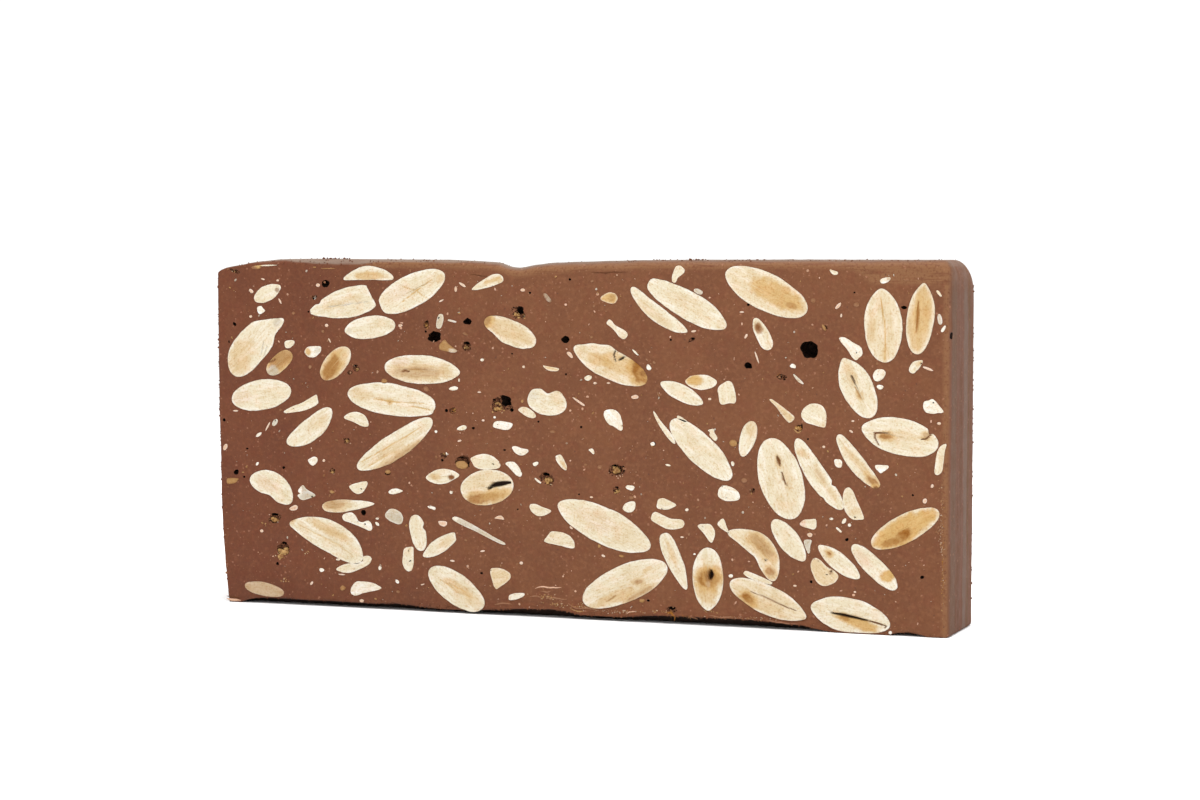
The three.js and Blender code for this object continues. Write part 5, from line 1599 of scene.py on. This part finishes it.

# Curled shavings along the lower edge, and, in the crease tone, painted shadow lines in creases, as (tone,
# width, points on the way).
SHAVINGS = [
    ("pink", 0.35, [(-7.9, 7), (-6, 7.6), (-3.6, 7.3), (-1, 7.6)]),
    ("shaving", 0.4, [(-5.6, 5.4), (-4.2, 4.6), (-2.8, 5.1), (-1.4, 4.6), (0.4, 4.9)]),
    ("shaving", 0.35, [(-6.8, 6.4), (-5, 6.2), (-3.9, 6.6)]),
    ("shaving", 0.4, [(-9.4, 4.9), (-7.6, 5.3), (-6.4, 4.8)]),
    ("shaving", 0.4, [(-18.6, 2.6), (-16.4, 3.1), (-14, 2.8)]),
    ("shaving", 0.45, [(0.6, 3.8), (2.8, 2.6), (5.4, 3), (8.4, 2.3)]),
    ("tan", 0.3, [(1, 2.6), (3, 1.9), (4.6, 2.1)]),
    ("pink", 0.3, [(15.4, 1.9), (16.6, 2.7), (17.8, 2.5)]),
    ("orange", 0.35, [(25, 3.2), (26, 2.6), (26.9, 2.9), (27.3, 1.4), (27.1, 0.6)]),
    ("orange", 0.3, [(26.2, 3), (27, 2.2), (28.2, 1.8)]),
    ("shaving", 0.4, [(30.4, 1.5), (31.8, 1.9), (33, 1.4)]),
    ("shaving", 0.35, [(36, 2.6), (39, 2.2), (43, 2.4)]),
    ("shaving", 0.4, [(50, 2.2), (54, 1.6), (58, 1.7)]),
    ("tan", 0.3, [(56.5, 47), (57.6, 46), (58.6, 46.6)]),
    ("crease_shadow", 0.3, [(-24.7, 82.4), (-22.4, 82.1), (-20, 82)]),
    ("crease_shadow", 0.3, [(6.2, 83), (11.3, 82.9), (15.8, 83.2)]),
    ("crease_shadow", 0.45, [(-91.5, 1.4), (-89.5, 1.25), (-87.4, 1.1)]),
    ("pink", 0.6, [(-91.5, 0.8), (-89.7, 0.6), (-87.5, 0.5)]),
]
DEEPEST = 1.2


class Surface:
    """The finished surface of the bar, for small things to lie on."""

    def __init__(self, body):
        points = [v.co / MM for v in body.data.vertices]
        self.tree = BVHTree.FromPolygons(points, [list(p.vertices) for p in body.data.polygons])

    def depth(self, x, z):
        """Where the front face lies in Y at a place, though never deep in a pit."""
        hit = self.tree.ray_cast(Vector((x, FRONT - 5, z)), Vector((0, 1, 0)))[0]
        return min(hit.y, FRONT + DEEPEST) if hit else FRONT

    def nearest(self, place):
        """The nearest point of the surface and the direction out of it."""
        at, outwards, _, _ = self.tree.find_nearest(Vector(place))
        return np.array(at), np.array(outwards)


def turned_about(x, z, u, v, turn):
    """The place that lies u along and v across from a place, in a frame turned in degrees."""
    angle = math.radians(turn)
    return (
        x + u * math.cos(angle) - v * math.sin(angle),
        z + u * math.sin(angle) + v * math.cos(angle),
    )


def make_crumbs(material, surface):
    """Crumbs and shavings that lie on the front face and in its torn places."""
    crumbs = Heap()
    for number, (tone, x, z, length, width, turn) in enumerate(BIG_CRUMBS):
        draw = np.random.default_rng(BIG_CRUMB_SEED + number)
        for bit in range(BITS):
            u, v = draw.uniform(-0.33, 0.33, 2) * (length, width) * (bit > 0)
            at = turned_about(x, z, u, v, turn)
            size = draw.uniform(0.25, 0.45) * width if bit else 0.55 * width
            seed = int(draw.integers(1000))
            y = max(surface.depth(*at) - 0.25 * size, FRONT + 0.25 * size)
            sizes = (size * length / width if bit == 0 else size * 1.2, 0.8 * size, size)
            points, faces = lumpy_ball((at[0], y, at[1]), sizes, turn, 0.35, seed, 2)
            tint = mix(TONES[tone], TONES["golden"], 0.3 + 0.5 * noise(points, 0.7, seed))
            tint = mix(tint, TONES["brown"], 0.8 * ramp(noise(points, 0.4, seed + 1), 0, 0.5))
            crumbs.add(points, faces, tint, (0, 0, number))
    for number, (tone, x, z, length, width, turn, size) in enumerate(CRUMBS):
        draw = np.random.default_rng(HEAP_SEED + number)
        for _ in range(max(3, round(CRUMB_SHARE * length * width / size**2))):
            u, v = draw.normal(0, 0.25, 2) * (length, width)
            side, height = turned_about(x, z, u, v, turn)
            at = (side, max(0.4, height))
            place = (at[0], surface.depth(*at), at[1])
            sizes = size * draw.uniform(0.4, 1.1, 3) * (1, 0.6, 1)
            seed = int(draw.integers(1000))
            points, faces = lumpy_ball(place, sizes, draw.uniform(0, 180), 0.3, seed, 0)
            tint = mix(TONES[tone], TONES[("brown", "cream", "tan")[seed % 3]], 0.5 * draw.random())
            crumbs.add(points, faces, tint, (0, 0, seed % 50))
    for number, (tone, width, way) in enumerate(SHAVINGS):
        points, faces = shaving(way, width, SHAVING_SEED + number, surface)
        crumbs.add(points, faces, TONES[tone], (0, 0, number))
    crumbs.dress("almond_crumbs", material)


def shaving(way, width, seed, surface):
    """A thin tapered curl that lies on the front face along a way."""
    line = np.array([(x, FRONT, z) for x, z in way])
    for _ in range(3):
        line = rounded(line)
    line[:, 2] += 0.12 * noise(line, 0.8, seed)
    line[:, 1] = [surface.depth(x, z) for x, _, z in line] + 0.05 * noise(line, 0.6, seed + 1)
    share = np.linspace(0, 1, len(line))
    half = width / 2 * np.sqrt(np.clip(1 - (2 * share - 1) ** 4, 0.05, 1))
    turns = np.linspace(0, 2 * math.pi, 6, endpoint=False)
    ahead = np.gradient(line[:, [0, 2]], axis=0)
    ahead /= np.hypot(*ahead.T)[:, None]
    across = np.stack([-ahead[:, 1], 0 * share, ahead[:, 0]], 1)
    rings = [
        line + across * (half * math.cos(t))[:, None] + np.outer(0.5 * half * math.sin(t), (0, 1, 0))
        for t in turns
    ]
    return np.stack(rings, 1).reshape(-1, 3), loop_faces(len(line), len(rings))


def rounded(line):
    """Clips the corners of an open line, and keeps its ends."""
    near, far = 0.75 * line[:-1] + 0.25 * line[1:], 0.25 * line[:-1] + 0.75 * line[1:]
    inner = np.stack([near, far], 1).reshape(-1, 3)
    return np.concatenate([line[:1], inner[1:-1], line[-1:]])


# Rows of chocolate crumbs along the edges, as (start, end, count, size).
CRUMB_ROWS = [
    ((-93.3, -11.6, 30), (-93.3, -11.8, 82), 60, 0.5),
    ((-91.5, -11.7, 4), (-93.2, -11.7, 30), 14, 0.45),
    ((-88, -11.5, 85), (-20, -11.2, 85.6), 60, 0.4),
    ((-66, -8, 85.9), (-56, -10.5, 86), 26, 0.6),
    ((10, -10.5, 85.5), (92, -10.5, 85.7), 60, 0.4),
    ((30, -10, 85.9), (34, -10, 86), 10, 0.6),
    ((44, -9, 85.8), (50, -9, 85.8), 12, 0.5),
    ((-85, -11.7, 1.5), (-45, -11.7, 1.6), 40, 0.45),
    ((-44, -11.7, 1.3), (25, -11.7, 1.5), 110, 0.5),
    ((25, -11.6, 1.9), (64, -11.6, 1), 60, 0.5),
    ((64, -11.6, 0.7), (92, -11.4, 0.5), 34, 0.4),
    ((93.2, 11, 6), (93.2, 11, 80), 46, 0.5),
    ((92.2, -11.3, 6), (92.6, -11.3, 80), 50, 0.35),
    ((-93, 11, 10), (-93, 11, 80), 30, 0.4),
    ((-90, 11, 85.4), (90, 11, 85.6), 60, 0.4),
]
LARGE_CRUMB = 0.6
LIFT, LARGE_LIFT = 0.1, 0.25  # of their size that crumbs stand proud


def make_chocolate_crumbs(material, surface):
    """Crumbs of the bar itself, stuck to its edges."""
    crumbs = Heap()
    for row, (start, end, count, size) in enumerate(CRUMB_ROWS):
        draw = np.random.default_rng(ROW_SEED + row)
        for share in draw.random(count):
            place = np.array(start) * (1 - share) + np.array(end) * share + draw.normal(0, 0.25, 3)
            sizes = size * draw.uniform(0.3, 1.2, 3)
            at, outwards = surface.nearest(place)
            place = at + (LARGE_LIFT if size >= LARGE_CRUMB else LIFT) * size * outwards
            place[2] = max(place[2], 0.6 * sizes.max())
            points, faces = lumpy_ball(place, sizes, draw.uniform(0, 180), 0.3, int(draw.integers(999)), 0)
            crumbs.add(points, faces)
    crumbs.dress("chocolate_crumbs", material)


# ---------------------------------------------------------------- light and floor


def make_stage():
    material, tree, shader = new_material("paper")
    white = (0.93, 0.93, 0.93, 1)
    set_inputs(tree, shader, {"Base Color": white, "Roughness": 0.9, "Specular IOR Level": 0.1})
    half = 1500
    corners = [(-half, -half, 0), (half, -half, 0), (half, half, 0), (-half, half, 0)]
    floor = make_object("floor", corners, [[0, 1, 2, 3]], material)


def make_light(name, place, target, size, power):
    data = bpy.data.lights.new(name, "AREA")
    data.energy = power
    data.size = size * MM
    light = bpy.data.objects.new(name, data)
    light.location = [c * MM for c in place]
    aim = Vector(target) - Vector(place)
    light.rotation_euler = aim.to_track_quat("-Z", "Y").to_euler()
    bpy.context.scene.collection.objects.link(light)


def make_world():
    world = bpy.data.worlds.new("studio")
    world.use_nodes = True
    background = world.node_tree.nodes["Background"]
    background.inputs["Color"].default_value = (1, 1, 1, 1)
    background.inputs["Strength"].default_value = 1.1
    bpy.context.scene.world = world
    bpy.context.scene.view_settings.view_transform = "Standard"


# ---------------------------------------------------------------- all together

make_camera()
make_world()
make_stage()
make_light("key", (150, -300, 900), (0, 0, 0), 800, 9)
make_light("fill", (600, -500, 300), (0, 0, 40), 500, 0.3)

chocolate = chocolate_material()
almond = almond_material()
sections = {node: section_outline(node) for node in SEEDS}
body = make_body(chocolate)
cut_hollows(body, sections)
set_zones(body)
shade_smooth(body, 60)
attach(body, "root")
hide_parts("nougat")
for node, section in sections.items():
    make_almond(node, section, almond)
make_chips(almond, sections)
make_flakes(almond, sections)
surface = Surface(body)
make_crumbs(almond, surface)
make_chocolate_crumbs(chocolate, surface)
